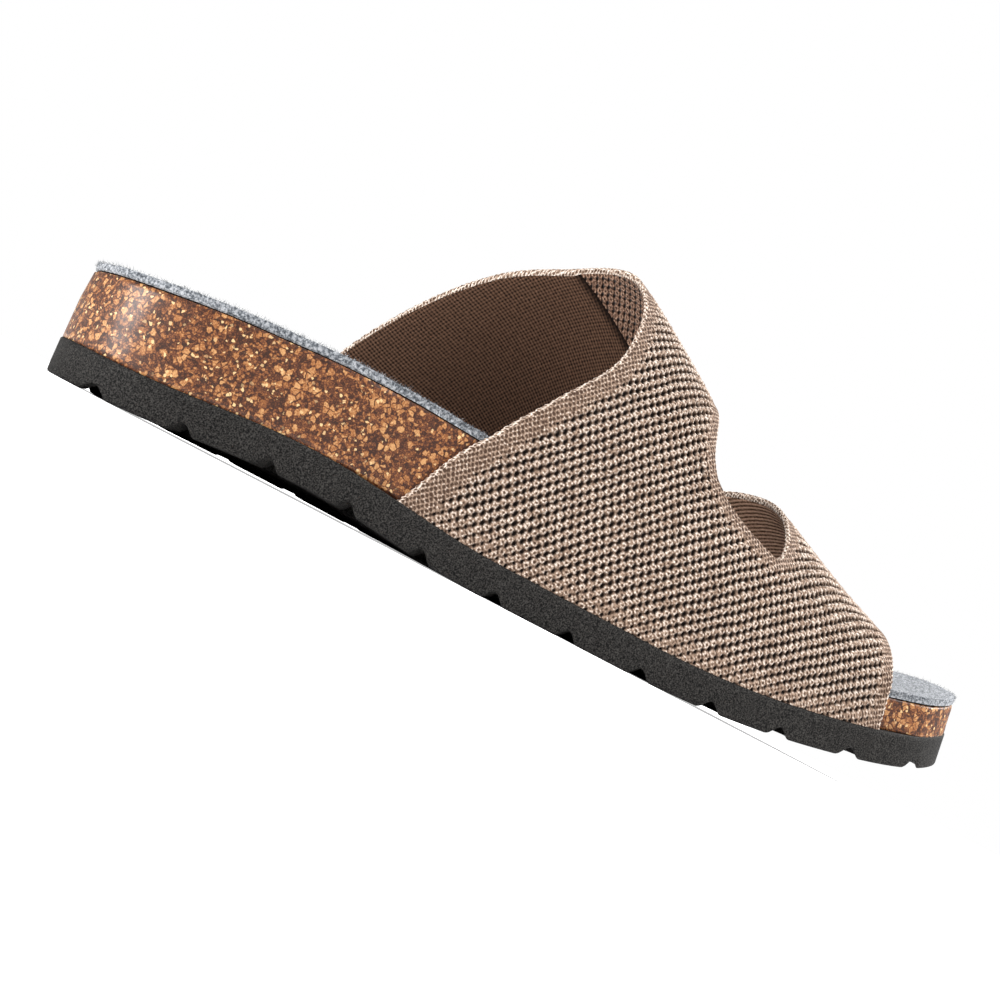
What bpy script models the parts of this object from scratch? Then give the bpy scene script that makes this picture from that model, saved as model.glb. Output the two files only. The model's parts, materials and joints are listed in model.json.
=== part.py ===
"""Slide sandal for the left foot: outsole, cork footbed, felt insole and knitted upper.

Sizes are millimetres, measured from the back of the heel and from the floor.
+X points to the toe, +Y to the outer side of the foot and +Z up.
"""
from collections import namedtuple

import bmesh
import bpy
import numpy as np

# Driving dimensions
LENGTH = 270.0
BALL_WIDTH = 97.0
INSTEP_HEIGHT = 98.0
HEEL_HEIGHT = 23.5

# Sheet and wall thicknesses, and the gap that pieces keep where they meet
OUTSOLE_THICKNESS = 9.2
INSOLE_THICKNESS = 2.5
KNIT_THICKNESS = 1.8
LINING_THICKNESS = 0.6
MEETING_GAP = 0.3

# Outline of the sole: half widths on each side as shares of the ball width
Outline = namedtuple("Outline", "at inner outer")
OUTLINE = (
    Outline(0.000, 0.335, 0.335),
    Outline(0.110, 0.336, 0.337),
    Outline(0.185, 0.345, 0.356),
    Outline(0.300, 0.362, 0.387),
    Outline(0.410, 0.387, 0.418),
    Outline(0.520, 0.418, 0.464),
    Outline(0.620, 0.455, 0.508),
    Outline(0.705, 0.474, 0.521),
    Outline(0.780, 0.476, 0.505),
    Outline(0.850, 0.475, 0.466),
    Outline(0.925, 0.476, 0.424),
    Outline(1.000, 0.480, 0.390),
)
HEEL_ROUND = 34.0
HEEL_ROUND_POWER = 2.2
TOE_ROUND_INNER = 42.0
TOE_ROUND_INNER_POWER = 2.2
TOE_ROUND_OUTER = 70.0
TOE_ROUND_OUTER_POWER = 2.1
TOE_TIP_SHIFT = -6.0
TOE_TIP_START = 180.0

# Underside: toe spring as a parabola, arch as a raised cosine that is higher on the inner side
SPRING_START = 160.0
SPRING_RATE = 0.00165
ARCH_CENTRE = 63.0
ARCH_HALF_LENGTH = 53.0
ARCH_INNER = 3.6
ARCH_OUTER = 0.4

# Lean of the sole's two ends: the toe reaches forward at the floor, the heel back at the rim
TOE_RAKE = 3.4
TOE_RAKE_START = 200.0
HEEL_RAKE = 1.6
HEEL_RAKE_END = 45.0
RAKE_HEIGHT = 20.0

# Wavy grooves between the lugs
GROOVE_FIRST = 11.0
GROOVE_PITCH = 21.5
GROOVE_COUNT = 12
GROOVE_WIDTH = 7.5
GROOVE_DEPTH = 2.6
GROOVE_STEPS = 6
HEEL_STEPS = 5
TOE_STEPS = 7
WAVE_HEIGHT = 3.5
WAVE_COUNT = 3
WAVE_FADE = 22.0
OUTSOLE_COLUMNS = 6 * WAVE_COUNT

# Top of the insole above the outsole, as shares of the heel height
Bed = namedtuple("Bed", "at inner middle outer")
BED = (
    Bed(0.000, 0.89, 0.89, 0.89),
    Bed(0.035, 0.94, 0.74, 0.94),
    Bed(0.100, 1.01, 0.57, 1.00),
    Bed(0.185, 1.02, 0.55, 0.97),
    Bed(0.300, 1.07, 0.56, 0.87),
    Bed(0.390, 1.12, 0.59, 0.77),
    Bed(0.465, 1.04, 0.57, 0.68),
    Bed(0.540, 0.81, 0.53, 0.60),
    Bed(0.615, 0.62, 0.49, 0.55),
    Bed(0.705, 0.53, 0.47, 0.51),
    Bed(0.815, 0.49, 0.46, 0.49),
    Bed(0.905, 0.48, 0.46, 0.48),
    Bed(1.000, 0.47, 0.47, 0.47),
)
BED_DISH_POWER = 3.0
BED_MARGIN = 0.5
BED_ROWS = 44
BED_COLUMNS = 12

# Side of the cork: flush with the outsole where it shows, set in where the upper covers it
CORK_INSET = 0.3
CORK_LEAN = 0.2
CORK_ROUND = 0.5
CORK_ROUND_HEIGHT = 1.2
COVER_MARGIN = 2.0
COVER_EASE = 20.0
COVER_TOE_EASE = 14.0
INSOLE_ROUND = 0.6
INSOLE_ROUND_HEIGHT = 0.7

# Crown of the upper above the floor, as shares of the instep height
Crown = namedtuple("Crown", "at height")
CROWN = (
    Crown(0.150, 1.255),
    Crown(0.300, 1.140),
    Crown(0.410, 1.055),
    Crown(0.463, 1.000),
    Crown(0.520, 0.922),
    Crown(0.565, 0.852),
    Crown(0.611, 0.776),
    Crown(0.660, 0.704),
    Crown(0.704, 0.650),
    Crown(0.760, 0.585),
    Crown(0.815, 0.523),
    Crown(0.870, 0.468),
    Crown(0.930, 0.412),
)
CROWN_SHIFT = -3.0

# Girth runs from -1 at the inner foot of the upper over 0 at its crown to 1 at the outer foot.
# The rim is where the wall beside the footbed turns into the arch over the foot.
RIM_GIRTH = 0.72
UPPER_INSET = 0.4
WALL_STEPS = 3
RIM_STEPS = 4
BACK_COLUMNS = 12
FRONT_COLUMNS = 10
SEAM_GIRTH = 0.185

# Edges of the upper along the girth, as shares of the length
Edge = namedtuple("Edge", "girth collar middle toe")
EDGES = (
    Edge(-1.00, 0.321, 0.640, 0.857),
    Edge(-0.72, 0.370, 0.660, 0.851),
    Edge(-0.60, 0.410, 0.675, 0.848),
    Edge(-0.47, 0.449, 0.684, 0.849),
    Edge(-0.32, 0.464, 0.688, 0.855),
    Edge(-0.10, 0.461, 0.690, 0.866),
    Edge(0.05, 0.448, 0.687, 0.869),
    Edge(0.20, 0.418, 0.677, 0.865),
    Edge(0.35, 0.360, 0.662, 0.848),
    Edge(0.50, 0.305, 0.637, 0.824),
    Edge(0.62, 0.265, 0.615, 0.803),
    Edge(0.72, 0.237, 0.595, 0.790),
    Edge(1.00, 0.189, 0.560, 0.783),
)

# The cut-out between the two straps, closed at its first and last row, as shares of the length
Cut = namedtuple("Cut", "girth back front")
CUT = (
    Cut(-0.475, 0.683, 0.683),
    Cut(-0.468, 0.640, 0.687),
    Cut(-0.458, 0.612, 0.690),
    Cut(-0.435, 0.592, 0.694),
    Cut(-0.390, 0.583, 0.698),
    Cut(-0.320, 0.582, 0.702),
    Cut(-0.240, 0.586, 0.706),
    Cut(-0.160, 0.592, 0.708),
    Cut(-0.080, 0.598, 0.709),
    Cut(0.000, 0.601, 0.708),
    Cut(0.090, 0.601, 0.703),
    Cut(0.180, 0.597, 0.696),
    Cut(0.190, 0.596, 0.695),
    Cut(0.260, 0.588, 0.687),
    Cut(0.330, 0.577, 0.676),
    Cut(0.390, 0.570, 0.665),
    Cut(0.435, 0.573, 0.655),
    Cut(0.458, 0.587, 0.648),
    Cut(0.468, 0.606, 0.645),
    Cut(0.475, 0.640, 0.640),
)

# Width in millimetres that a share across is taken of at the sole's two tips
SMALLEST_WIDTH = 0.001

# Metres to a millimetre, and how near in metres two points are welded into one
MILLIMETRE = 0.001
WELD_DISTANCE = 1e-6


def smooth(rows, column, along, key="at"):
    """Read one column of a table as a smooth curve, a cubic between each two rows."""
    places = np.array([getattr(row, key) for row in rows])
    values = np.array([getattr(row, column) for row in rows])
    slopes = np.gradient(values, places)
    along = np.clip(along, places[0], places[-1])
    index = np.clip(np.searchsorted(places, along, side="right") - 1, 0, len(places) - 2)
    step = places[index + 1] - places[index]
    part = (along - places[index]) / step
    rise = part * part * (3.0 - 2.0 * part)
    leave = part * (1.0 - part) ** 2 * step
    arrive = part * part * (part - 1.0) * step
    start = values[index] * (1.0 - rise) + slopes[index] * leave
    return start + values[index + 1] * rise + slopes[index + 1] * arrive


def ease(value, start, end):
    """Rise smoothly from 0 at start to 1 at end."""
    part = np.clip((value - start) / (end - start), 0.0, 1.0)
    return part * part * (3.0 - 2.0 * part)


def round_end(depth, power):
    """Narrow from 1 to 0 along a superellipse as depth goes from 0 to 1."""
    return np.maximum(1.0 - np.clip(depth, 0.0, 1.0) ** power, 0.0) ** (1.0 / power)


def sole_sides(x):
    """Y of the sole's inner and outer edge at x."""
    spine = TOE_TIP_SHIFT * ease(x, TOE_TIP_START, LENGTH)
    heel = round_end((HEEL_ROUND - x) / HEEL_ROUND, HEEL_ROUND_POWER)
    toe_inner = round_end((x - LENGTH + TOE_ROUND_INNER) / TOE_ROUND_INNER, TOE_ROUND_INNER_POWER)
    toe_outer = round_end((x - LENGTH + TOE_ROUND_OUTER) / TOE_ROUND_OUTER, TOE_ROUND_OUTER_POWER)
    inner = -BALL_WIDTH * smooth(OUTLINE, "inner", x / LENGTH)
    outer = BALL_WIDTH * smooth(OUTLINE, "outer", x / LENGTH)
    inner_edge = spine + (inner - spine) * heel * toe_inner
    outer_edge = spine + (outer - spine) * heel * toe_outer
    return inner_edge, outer_edge


def share_across(x, y):
    """Place of y across the sole, from 0 at the inner edge to 1 at the outer one."""
    inner, outer = sole_sides(x)
    return np.clip((y - inner) / np.maximum(outer - inner, SMALLEST_WIDTH), 0.0, 1.0)


def underside(x, y):
    """Height of the lugs' faces above the floor."""
    spring = SPRING_RATE * np.maximum(x - SPRING_START, 0.0) ** 2
    reach = np.clip((x - ARCH_CENTRE) / ARCH_HALF_LENGTH, -1.0, 1.0)
    share = share_across(x, y)
    arch = (ARCH_INNER * (1.0 - share) + ARCH_OUTER * share) * np.cos(0.5 * np.pi * reach) ** 2
    return spring + arch


def outsole_top(x, y):
    """Height of the outsole's upper face."""
    return underside(x, y) + OUTSOLE_THICKNESS


def bed_top(x, y):
    """Height of the insole's upper face: a dish between a rim on each side."""
    inner_edge, outer_edge = sole_sides(x)
    half_width = np.maximum(0.5 * (outer_edge - inner_edge) - BED_MARGIN, SMALLEST_WIDTH)
    across = np.clip((y - 0.5 * (inner_edge + outer_edge)) / half_width, -1.0, 1.0)
    middle = smooth(BED, "middle", x / LENGTH)
    rim = np.where(across < 0.0, smooth(BED, "inner", x / LENGTH), smooth(BED, "outer", x / LENGTH))
    dish = middle + (rim - middle) * np.abs(across) ** BED_DISH_POWER
    return outsole_top(x, y) + HEEL_HEIGHT * dish


def edge_at(column, girth):
    """X of one edge of the upper at a girth."""
    return LENGTH * smooth(EDGES, column, girth, key="girth")


def cover(x, outer):
    """1 where the upper covers the footbed's side, falling to 0 where the cork shows."""
    side = 1.0 if outer else -1.0
    start = edge_at("collar", np.array(side)) - COVER_MARGIN
    end = edge_at("toe", np.array(side)) + COVER_MARGIN
    return ease(x, start - COVER_EASE, start) * (1.0 - ease(x, end, end + COVER_TOE_EASE))


def footbed_inset(x, outer, showing):
    """Inset of the footbed's side: the given one where it shows, more behind the upper."""
    wall = KNIT_THICKNESS + (LINING_THICKNESS if outer else 0.0)
    covered = UPPER_INSET + wall + MEETING_GAP
    return showing + (covered - showing) * cover(x, outer)


def inset_loop(rows, inner_inset, outer_inset):
    """Move the sole's outline inward.

    Returns the inner and the outer edge, a point for each row; at heel and toe tip they meet.
    """
    inner, outer = sole_sides(rows)
    forward = np.column_stack((rows, inner))
    backward = np.column_stack((rows, outer))[-2:0:-1]
    loop = np.concatenate((forward, backward))
    inset = np.concatenate((inner_inset, outer_inset[-2:0:-1]))
    along = np.roll(loop, -1, axis=0) - np.roll(loop, 1, axis=0)
    along /= np.linalg.norm(along, axis=1, keepdims=True)
    inward = np.column_stack((-along[:, 1], along[:, 0]))
    moved = loop + inward * inset[:, None]
    count = len(rows)
    inner_edge = moved[:count]
    outer_edge = np.concatenate((moved[:1], moved[count:][::-1], moved[count - 1:count]))
    return inner_edge, outer_edge


def span(inner_edge, outer_edge, columns):
    """Fill a grid of plan points between two edges, closer together toward the edges."""
    share = 0.5 * (1.0 - np.cos(np.linspace(0.0, np.pi, columns + 1)))
    return inner_edge[:, None, :] + (outer_edge - inner_edge)[:, None, :] * share[None, :, None]


def raise_grid(points, surface, lift=0.0):
    """Give plan points the heights of a surface, lifted by a fixed amount."""
    heights = surface(points[..., 0], points[..., 1]) + lift
    return np.concatenate((points, heights[..., None]), axis=2)


def bed_rows():
    """Stations from heel to toe, closer together at the two ends."""
    return 0.5 * LENGTH * (1.0 - np.cos(np.linspace(0.0, np.pi, BED_ROWS + 1)))


def groove_rows():
    """Stations of the outsole: several across each groove and one on each lug."""
    across = np.linspace(-0.5, 0.5, GROOVE_STEPS + 1) * GROOVE_WIDTH
    centres = GROOVE_FIRST + GROOVE_PITCH * np.arange(GROOVE_COUNT)
    in_grooves = (centres[:, None] + across[None, :]).ravel()
    on_lugs = centres[:-1] + 0.5 * GROOVE_PITCH
    first = in_grooves[0]
    last = in_grooves[-1]
    heel = first * np.linspace(0.0, 1.0, HEEL_STEPS + 1)[:-1] ** 2
    toe = LENGTH - (LENGTH - last) * np.linspace(0.0, 1.0, TOE_STEPS + 1)[:-1] ** 2
    return np.sort(np.concatenate((heel, in_grooves, on_lugs, toe)))


def groove_depth(station):
    """Depth of the grooves at a station, a rounded trough at each pitch."""
    nearest = np.clip(np.round((station - GROOVE_FIRST) / GROOVE_PITCH), 0, GROOVE_COUNT - 1)
    offset = station - GROOVE_FIRST - GROOVE_PITCH * nearest
    part = np.clip(offset / GROOVE_WIDTH, -0.5, 0.5)
    return GROOVE_DEPTH * np.cos(np.pi * part) ** 2


def wavy_plan(rows, columns):
    """Plan points of the outsole's stations, waved across the sole and straight at heel and toe."""
    share = np.linspace(0.0, 1.0, columns + 1)[None, :]
    fade = ease(rows, 0.0, WAVE_FADE) * ease(LENGTH - rows, 0.0, WAVE_FADE)
    x = rows[:, None] + WAVE_HEIGHT * fade[:, None] * np.sin(2.0 * np.pi * WAVE_COUNT * share)
    x = np.clip(x, 0.0, LENGTH)
    inner, outer = sole_sides(x)
    return np.stack((x, inner + (outer - inner) * share), axis=2)


def ends(grid):
    """First and last column of a grid."""
    return grid[:, [0, -1]]


def outsole_grids():
    """Faces of the outsole: lugs and grooves below, a plain face above and the side."""
    rows = groove_rows()
    plan = wavy_plan(rows, OUTSOLE_COLUMNS)
    lower = raise_grid(plan, underside, groove_depth(rows)[:, None])
    upper = raise_grid(ends(plan), outsole_top)
    return [lower, upper, *side_strips([ends(lower), upper])]


def side_strips(levels):
    """Join loops, each given as its inner and outer edge, with strips from one to the next."""
    strips = []
    for below, above in zip(levels[:-1], levels[1:]):
        for edge in (0, 1):
            strips.append(np.stack((below[:, edge], above[:, edge]), axis=1))
    return strips


def footbed_loop(rows, showing):
    """Edges of the footbed at an inset where it shows."""
    inner_inset = footbed_inset(rows, False, showing)
    outer_inset = footbed_inset(rows, True, showing)
    return inset_loop(rows, inner_inset, outer_inset)


def cork_grids():
    """Faces of the cork: seated on the outsole, dished above, its upper edge rounded."""
    rows = bed_rows()
    drop = -INSOLE_THICKNESS - MEETING_GAP
    base = span(*footbed_loop(rows, CORK_INSET), BED_COLUMNS)
    lower = raise_grid(base, outsole_top, MEETING_GAP)
    lip = span(*footbed_loop(rows, CORK_INSET + CORK_LEAN + CORK_ROUND), BED_COLUMNS)
    upper = raise_grid(lip, bed_top, drop)
    shoulder = span(*footbed_loop(rows, CORK_INSET + CORK_LEAN), 1)
    side = raise_grid(shoulder, bed_top, drop - CORK_ROUND_HEIGHT)
    return [lower, upper, *side_strips([ends(lower), side, ends(upper)])]


def insole_grids():
    """Faces of the insole, a sheet that follows the dished top of the cork."""
    rows = bed_rows()
    showing = CORK_INSET + CORK_LEAN
    base = span(*footbed_loop(rows, showing), BED_COLUMNS)
    lower = raise_grid(base, bed_top, -INSOLE_THICKNESS)
    side = raise_grid(ends(base), bed_top, -INSOLE_ROUND_HEIGHT)
    upper = raise_grid(span(*footbed_loop(rows, showing + INSOLE_ROUND), BED_COLUMNS), bed_top)
    return [lower, upper, *side_strips([ends(lower), side, ends(upper)])]


def girth_rows():
    """Girths of the upper's rows, with those of the cut-out among them."""
    cut = np.array([row.girth for row in CUT])
    inner_wall = np.linspace(-1.0, -RIM_GIRTH, WALL_STEPS + 1)[:-1]
    inner_rise = np.linspace(-RIM_GIRTH, cut[0], RIM_STEPS + 1)[:-1]
    outer_fall = np.linspace(cut[-1], RIM_GIRTH, RIM_STEPS + 1)[1:]
    outer_wall = np.linspace(RIM_GIRTH, 1.0, WALL_STEPS + 1)[1:]
    return np.concatenate((inner_wall, inner_rise, cut, outer_fall, outer_wall))


def upper_surface(x, girth, thickness):
    """Points of the upper at x and girth, moved in from its outside by a thickness.

    Beside the footbed the section is an upright wall. Above the rim it is two quarter ellipses
    that meet at the crown.
    """
    side = np.where(girth < 0.0, -1.0, 1.0)
    inner, outer = sole_sides(x)
    edge = np.where(side < 0.0, inner, outer)
    wall_y = edge - side * (UPPER_INSET + thickness)
    foot = outsole_top(x, edge) + MEETING_GAP
    rim = bed_top(x, edge)
    crown = INSTEP_HEIGHT * smooth(CROWN, "height", x / LENGTH) - thickness
    turn = 0.5 * np.pi * (1.0 - np.clip(np.abs(girth) / RIM_GIRTH, 0.0, 1.0))
    fall = np.clip((np.abs(girth) - RIM_GIRTH) / (1.0 - RIM_GIRTH), 0.0, 1.0)
    y = CROWN_SHIFT + (wall_y - CROWN_SHIFT) * np.cos(turn)
    z = rim + (crown - rim) * np.sin(turn) + (foot - rim) * fall
    return np.stack((x, y, z), axis=-1)


def upper_grids():
    """Faces of the upper: two straps outside and inside, and the rims of its openings."""
    girth = girth_rows()
    first = int(np.searchsorted(girth, CUT[0].girth))
    opened = slice(first, first + len(CUT))
    back_edge = edge_at("middle", girth)
    front_edge = back_edge.copy()
    back_edge[opened] = [LENGTH * row.back for row in CUT]
    front_edge[opened] = [LENGTH * row.front for row in CUT]
    lined = np.where(girth > SEAM_GIRTH, LINING_THICKNESS, 0.0)
    inside = (KNIT_THICKNESS + lined)[:, None]
    straps = (
        (edge_at("collar", girth), back_edge, BACK_COLUMNS),
        (front_edge, edge_at("toe", girth), FRONT_COLUMNS),
    )
    grids = []
    skins = []
    for start, end, columns in straps:
        share = np.linspace(0.0, 1.0, columns + 1)[None, :]
        x = start[:, None] + (end - start)[:, None] * share
        rows = np.broadcast_to(girth[:, None], x.shape)
        outside_skin = upper_surface(x, rows, 0.0)
        inside_skin = upper_surface(x, rows, np.broadcast_to(inside, x.shape))
        skins.append((outside_skin, inside_skin))
        grids += [outside_skin, inside_skin]
        for foot in (0, -1):
            grids.append(np.stack((outside_skin[foot], inside_skin[foot])))
    back, front = skins
    grids.append(np.stack([skin[:, 0] for skin in back], axis=1))
    grids.append(np.stack([skin[:, -1] for skin in front], axis=1))
    grids.append(np.stack([skin[opened, -1] for skin in back], axis=1))
    grids.append(np.stack([skin[opened, 0] for skin in front], axis=1))
    return grids


def grid_faces(rows, columns, first):
    """Corner numbers of a grid's quads, counted from its first point."""
    corner = first + np.arange(rows * columns).reshape(rows, columns)
    quads = (corner[:-1, :-1], corner[:-1, 1:], corner[1:, 1:], corner[1:, :-1])
    return np.stack(quads, axis=-1).reshape(-1, 4)


def rake_ends(grid):
    """Lean the toe and the heel of a grid along x by each point's height above the underside."""
    x = grid[..., 0]
    rise = np.clip((grid[..., 2] - underside(x, grid[..., 1])) / RAKE_HEIGHT, 0.0, 1.0)
    forward = TOE_RAKE * ease(x, TOE_RAKE_START, LENGTH) * (1.0 - rise)
    backward = HEEL_RAKE * (1.0 - ease(x, 0.0, HEEL_RAKE_END)) * rise
    return np.concatenate(((x + forward - backward)[..., None], grid[..., 1:]), axis=-1)


def box_middle(pieces):
    """Middle of the floor under the box around all grids."""
    points = np.concatenate([grid.reshape(-1, 3) for grids in pieces for grid in grids])
    low = points.min(axis=0)
    high = points.max(axis=0)
    return np.array([0.5 * (low[0] + high[0]), 0.5 * (low[1] + high[1]), low[2]])


def add_material(name, colour, roughness):
    """Make a plain Principled material."""
    material = bpy.data.materials.new(name)
    material.use_nodes = True
    shader = material.node_tree.nodes["Principled BSDF"]
    shader.inputs["Base Color"].default_value = (*colour, 1.0)
    shader.inputs["Roughness"].default_value = roughness
    return material


def add_piece(name, grids, origin, material):
    """Weld grids along their shared edges into one closed, smooth mesh object."""
    points = []
    faces = []
    first = 0
    for grid in grids:
        rows, columns = grid.shape[:2]
        points.append(grid.reshape(-1, 3))
        faces.append(grid_faces(rows, columns, first))
        first += rows * columns
    places = (np.concatenate(points) - origin) * MILLIMETRE
    mesh = bpy.data.meshes.new(name)
    mesh.from_pydata(places.tolist(), [], np.concatenate(faces).tolist())
    solid = bmesh.new()
    solid.from_mesh(mesh)
    bmesh.ops.remove_doubles(solid, verts=solid.verts, dist=WELD_DISTANCE)
    bmesh.ops.recalc_face_normals(solid, faces=solid.faces)
    for face in solid.faces:
        face.smooth = True
    solid.to_mesh(mesh)
    solid.free()
    mesh.materials.append(material)
    piece = bpy.data.objects.new(name, mesh)
    bpy.context.scene.collection.objects.link(piece)
    return piece


def clear_scene():
    """Remove what a new scene starts with."""
    for item in list(bpy.data.objects):
        bpy.data.objects.remove(item, do_unlink=True)


def main():
    """Build the four pieces about the middle of their box on the floor."""
    clear_scene()
    foam = add_material("charcoal_foam", (0.030, 0.030, 0.030), 0.85)
    cork = add_material("cork", (0.330, 0.140, 0.050), 0.60)
    felt = add_material("grey_felt", (0.550, 0.580, 0.620), 0.95)
    knit = add_material("taupe_knit", (0.330, 0.240, 0.185), 0.90)
    names = ("outsole", "cork_footbed", "insole", "upper")
    shapes = (outsole_grids(), cork_grids(), insole_grids(), upper_grids())
    raked = [[rake_ends(grid) for grid in grids] for grids in shapes]
    origin = box_middle(raked)
    for name, grids, material in zip(names, raked, (foam, cork, felt, knit)):
        add_piece(name, grids, origin, material)


main()
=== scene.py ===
"""Slide sandal for the left foot: knitted upper, felt insole, cork footbed and foam outsole.

Shapes are worked out in millimetres, from the back of the heel and from the floor, with +X to the
toe, +Y to the outer side and +Z up. They are moved to the frame's origin when a mesh is made.
"""
from __future__ import annotations

import json
import logging
import math
from collections.abc import Mapping, Sequence
from dataclasses import dataclass
from enum import Enum, IntEnum
from typing import NamedTuple

import bmesh
import bpy
import numpy as np
from mathutils import Matrix, Vector

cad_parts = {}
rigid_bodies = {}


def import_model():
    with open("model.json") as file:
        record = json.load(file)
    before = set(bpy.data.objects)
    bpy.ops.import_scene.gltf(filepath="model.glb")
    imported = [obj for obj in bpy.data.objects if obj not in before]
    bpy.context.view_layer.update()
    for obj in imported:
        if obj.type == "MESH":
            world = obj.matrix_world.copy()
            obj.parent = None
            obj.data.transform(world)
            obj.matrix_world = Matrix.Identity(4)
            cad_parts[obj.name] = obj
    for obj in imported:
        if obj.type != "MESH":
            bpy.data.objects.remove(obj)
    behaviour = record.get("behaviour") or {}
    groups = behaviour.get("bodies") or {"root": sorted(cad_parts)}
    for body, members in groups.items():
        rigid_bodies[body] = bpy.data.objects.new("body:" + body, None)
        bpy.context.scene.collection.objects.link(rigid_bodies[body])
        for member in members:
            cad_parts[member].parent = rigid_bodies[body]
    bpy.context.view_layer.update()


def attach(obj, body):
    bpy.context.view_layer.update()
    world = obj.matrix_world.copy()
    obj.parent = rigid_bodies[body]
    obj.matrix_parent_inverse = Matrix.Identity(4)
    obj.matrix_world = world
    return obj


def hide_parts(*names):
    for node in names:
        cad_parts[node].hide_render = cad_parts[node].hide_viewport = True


LOG = logging.getLogger("slide_sandal")
BODY = "root"
MILLIMETRE = 0.001
# Frame's origin in millimetres, from the back of the heel and the floor
HEEL_ORIGIN = (136.150, 2.180, 0.0)
# Points closer than this are merged, in metres
WELD_DISTANCE = 1e-6
# Least values that something is divided by
SMALLEST_WIDTH = 0.001
SMALLEST_LENGTH = 1e-9
SMALLEST_OPENNESS = 0.01
# Keeps a place in a table short of its last row
TABLE_MARGIN = 0.001
# Attribute that holds each corner's place in a pattern
PATTERN = "pattern"
# Third pattern value of a rim, where openness would stand
RIM_MARK = -1.0
# Large odd numbers that scatter the corners of the noise's lattice, and its highest level
CORNER_PRIMES = (73856093, 19349663, 83492791)
SEED_PRIME = 668265263
MIX_PRIME = 1274126177
NOISE_LEVELS = 0xFFFF


class OutlineRow(NamedTuple):
    """Half widths of the sole as shares of the ball width, at a share of the length."""

    at: float
    inner: float
    outer: float


class BedRow(NamedTuple):
    """Heights of the insole's top above the outsole as shares of the heel height."""

    at: float
    inner: float
    middle: float
    outer: float


class CrownRow(NamedTuple):
    """Height of the upper's crown as a share of the instep height."""

    at: float
    height: float


class EdgeRow(NamedTuple):
    """Edges of the upper at a girth, as shares of the length."""

    girth: float
    collar: float
    middle: float
    toe: float


class CutRow(NamedTuple):
    """Back and front edge of the cut-out at a girth, as shares of the length."""

    girth: float
    back: float
    front: float


OUTLINE = (
    OutlineRow(0.000, 0.335, 0.335),
    OutlineRow(0.110, 0.336, 0.337),
    OutlineRow(0.185, 0.345, 0.356),
    OutlineRow(0.300, 0.362, 0.387),
    OutlineRow(0.410, 0.387, 0.418),
    OutlineRow(0.520, 0.418, 0.464),
    OutlineRow(0.620, 0.455, 0.508),
    OutlineRow(0.705, 0.474, 0.521),
    OutlineRow(0.780, 0.476, 0.505),
    OutlineRow(0.850, 0.475, 0.466),
    OutlineRow(0.925, 0.476, 0.424),
    OutlineRow(1.000, 0.480, 0.390),
)
BED = (
    BedRow(0.000, 0.89, 0.89, 0.89),
    BedRow(0.035, 0.94, 0.74, 0.94),
    BedRow(0.100, 1.01, 0.57, 1.00),
    BedRow(0.185, 1.02, 0.55, 0.97),
    BedRow(0.300, 1.07, 0.56, 0.87),
    BedRow(0.390, 1.12, 0.59, 0.77),
    BedRow(0.465, 1.04, 0.57, 0.68),
    BedRow(0.540, 0.81, 0.53, 0.60),
    BedRow(0.615, 0.62, 0.49, 0.55),
    BedRow(0.705, 0.53, 0.47, 0.51),
    BedRow(0.815, 0.49, 0.46, 0.49),
    BedRow(0.905, 0.48, 0.46, 0.48),
    BedRow(1.000, 0.47, 0.47, 0.47),
)
CROWN = (
    CrownRow(0.150, 1.255),
    CrownRow(0.300, 1.140),
    CrownRow(0.410, 1.055),
    CrownRow(0.463, 1.000),
    CrownRow(0.520, 0.922),
    CrownRow(0.565, 0.852),
    CrownRow(0.611, 0.776),
    CrownRow(0.660, 0.704),
    CrownRow(0.704, 0.650),
    CrownRow(0.760, 0.585),
    CrownRow(0.815, 0.523),
    CrownRow(0.870, 0.468),
    CrownRow(0.930, 0.412),
)
EDGES = (
    EdgeRow(-1.00, 0.321, 0.640, 0.857),
    EdgeRow(-0.72, 0.370, 0.660, 0.851),
    EdgeRow(-0.60, 0.410, 0.675, 0.848),
    EdgeRow(-0.47, 0.449, 0.684, 0.849),
    EdgeRow(-0.32, 0.464, 0.688, 0.855),
    EdgeRow(-0.10, 0.461, 0.690, 0.866),
    EdgeRow(0.05, 0.448, 0.687, 0.869),
    EdgeRow(0.20, 0.418, 0.677, 0.865),
    EdgeRow(0.35, 0.360, 0.662, 0.848),
    EdgeRow(0.50, 0.305, 0.637, 0.824),
    EdgeRow(0.62, 0.265, 0.615, 0.803),
    EdgeRow(0.72, 0.237, 0.595, 0.790),
    EdgeRow(1.00, 0.189, 0.560, 0.783),
)
CUT = (
    CutRow(-0.475, 0.683, 0.683),
    CutRow(-0.468, 0.640, 0.687),
    CutRow(-0.458, 0.612, 0.690),
    CutRow(-0.435, 0.592, 0.694),
    CutRow(-0.390, 0.583, 0.698),
    CutRow(-0.320, 0.582, 0.702),
    CutRow(-0.240, 0.586, 0.706),
    CutRow(-0.160, 0.592, 0.708),
    CutRow(-0.080, 0.598, 0.709),
    CutRow(0.000, 0.601, 0.708),
    CutRow(0.090, 0.601, 0.703),
    CutRow(0.180, 0.597, 0.696),
    CutRow(0.260, 0.588, 0.687),
    CutRow(0.330, 0.577, 0.676),
    CutRow(0.390, 0.570, 0.665),
    CutRow(0.435, 0.573, 0.655),
    CutRow(0.458, 0.587, 0.648),
    CutRow(0.468, 0.606, 0.645),
    CutRow(0.475, 0.640, 0.640),
)


class Side(Enum):
    """Side of the foot that an edge lies on."""

    INNER = -1.0
    OUTER = 1.0


class InsoleFace(IntEnum):
    """Material of each face of the insole, by its place in the list."""

    FELT = 0
    GAP_SHADE = 1


class UpperFace(IntEnum):
    """Material of each face of the upper, by its place in the list."""

    KNIT = 0
    LINING = 1
    KNIT_BACK = 2
    TOE_LINING = 3


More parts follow.
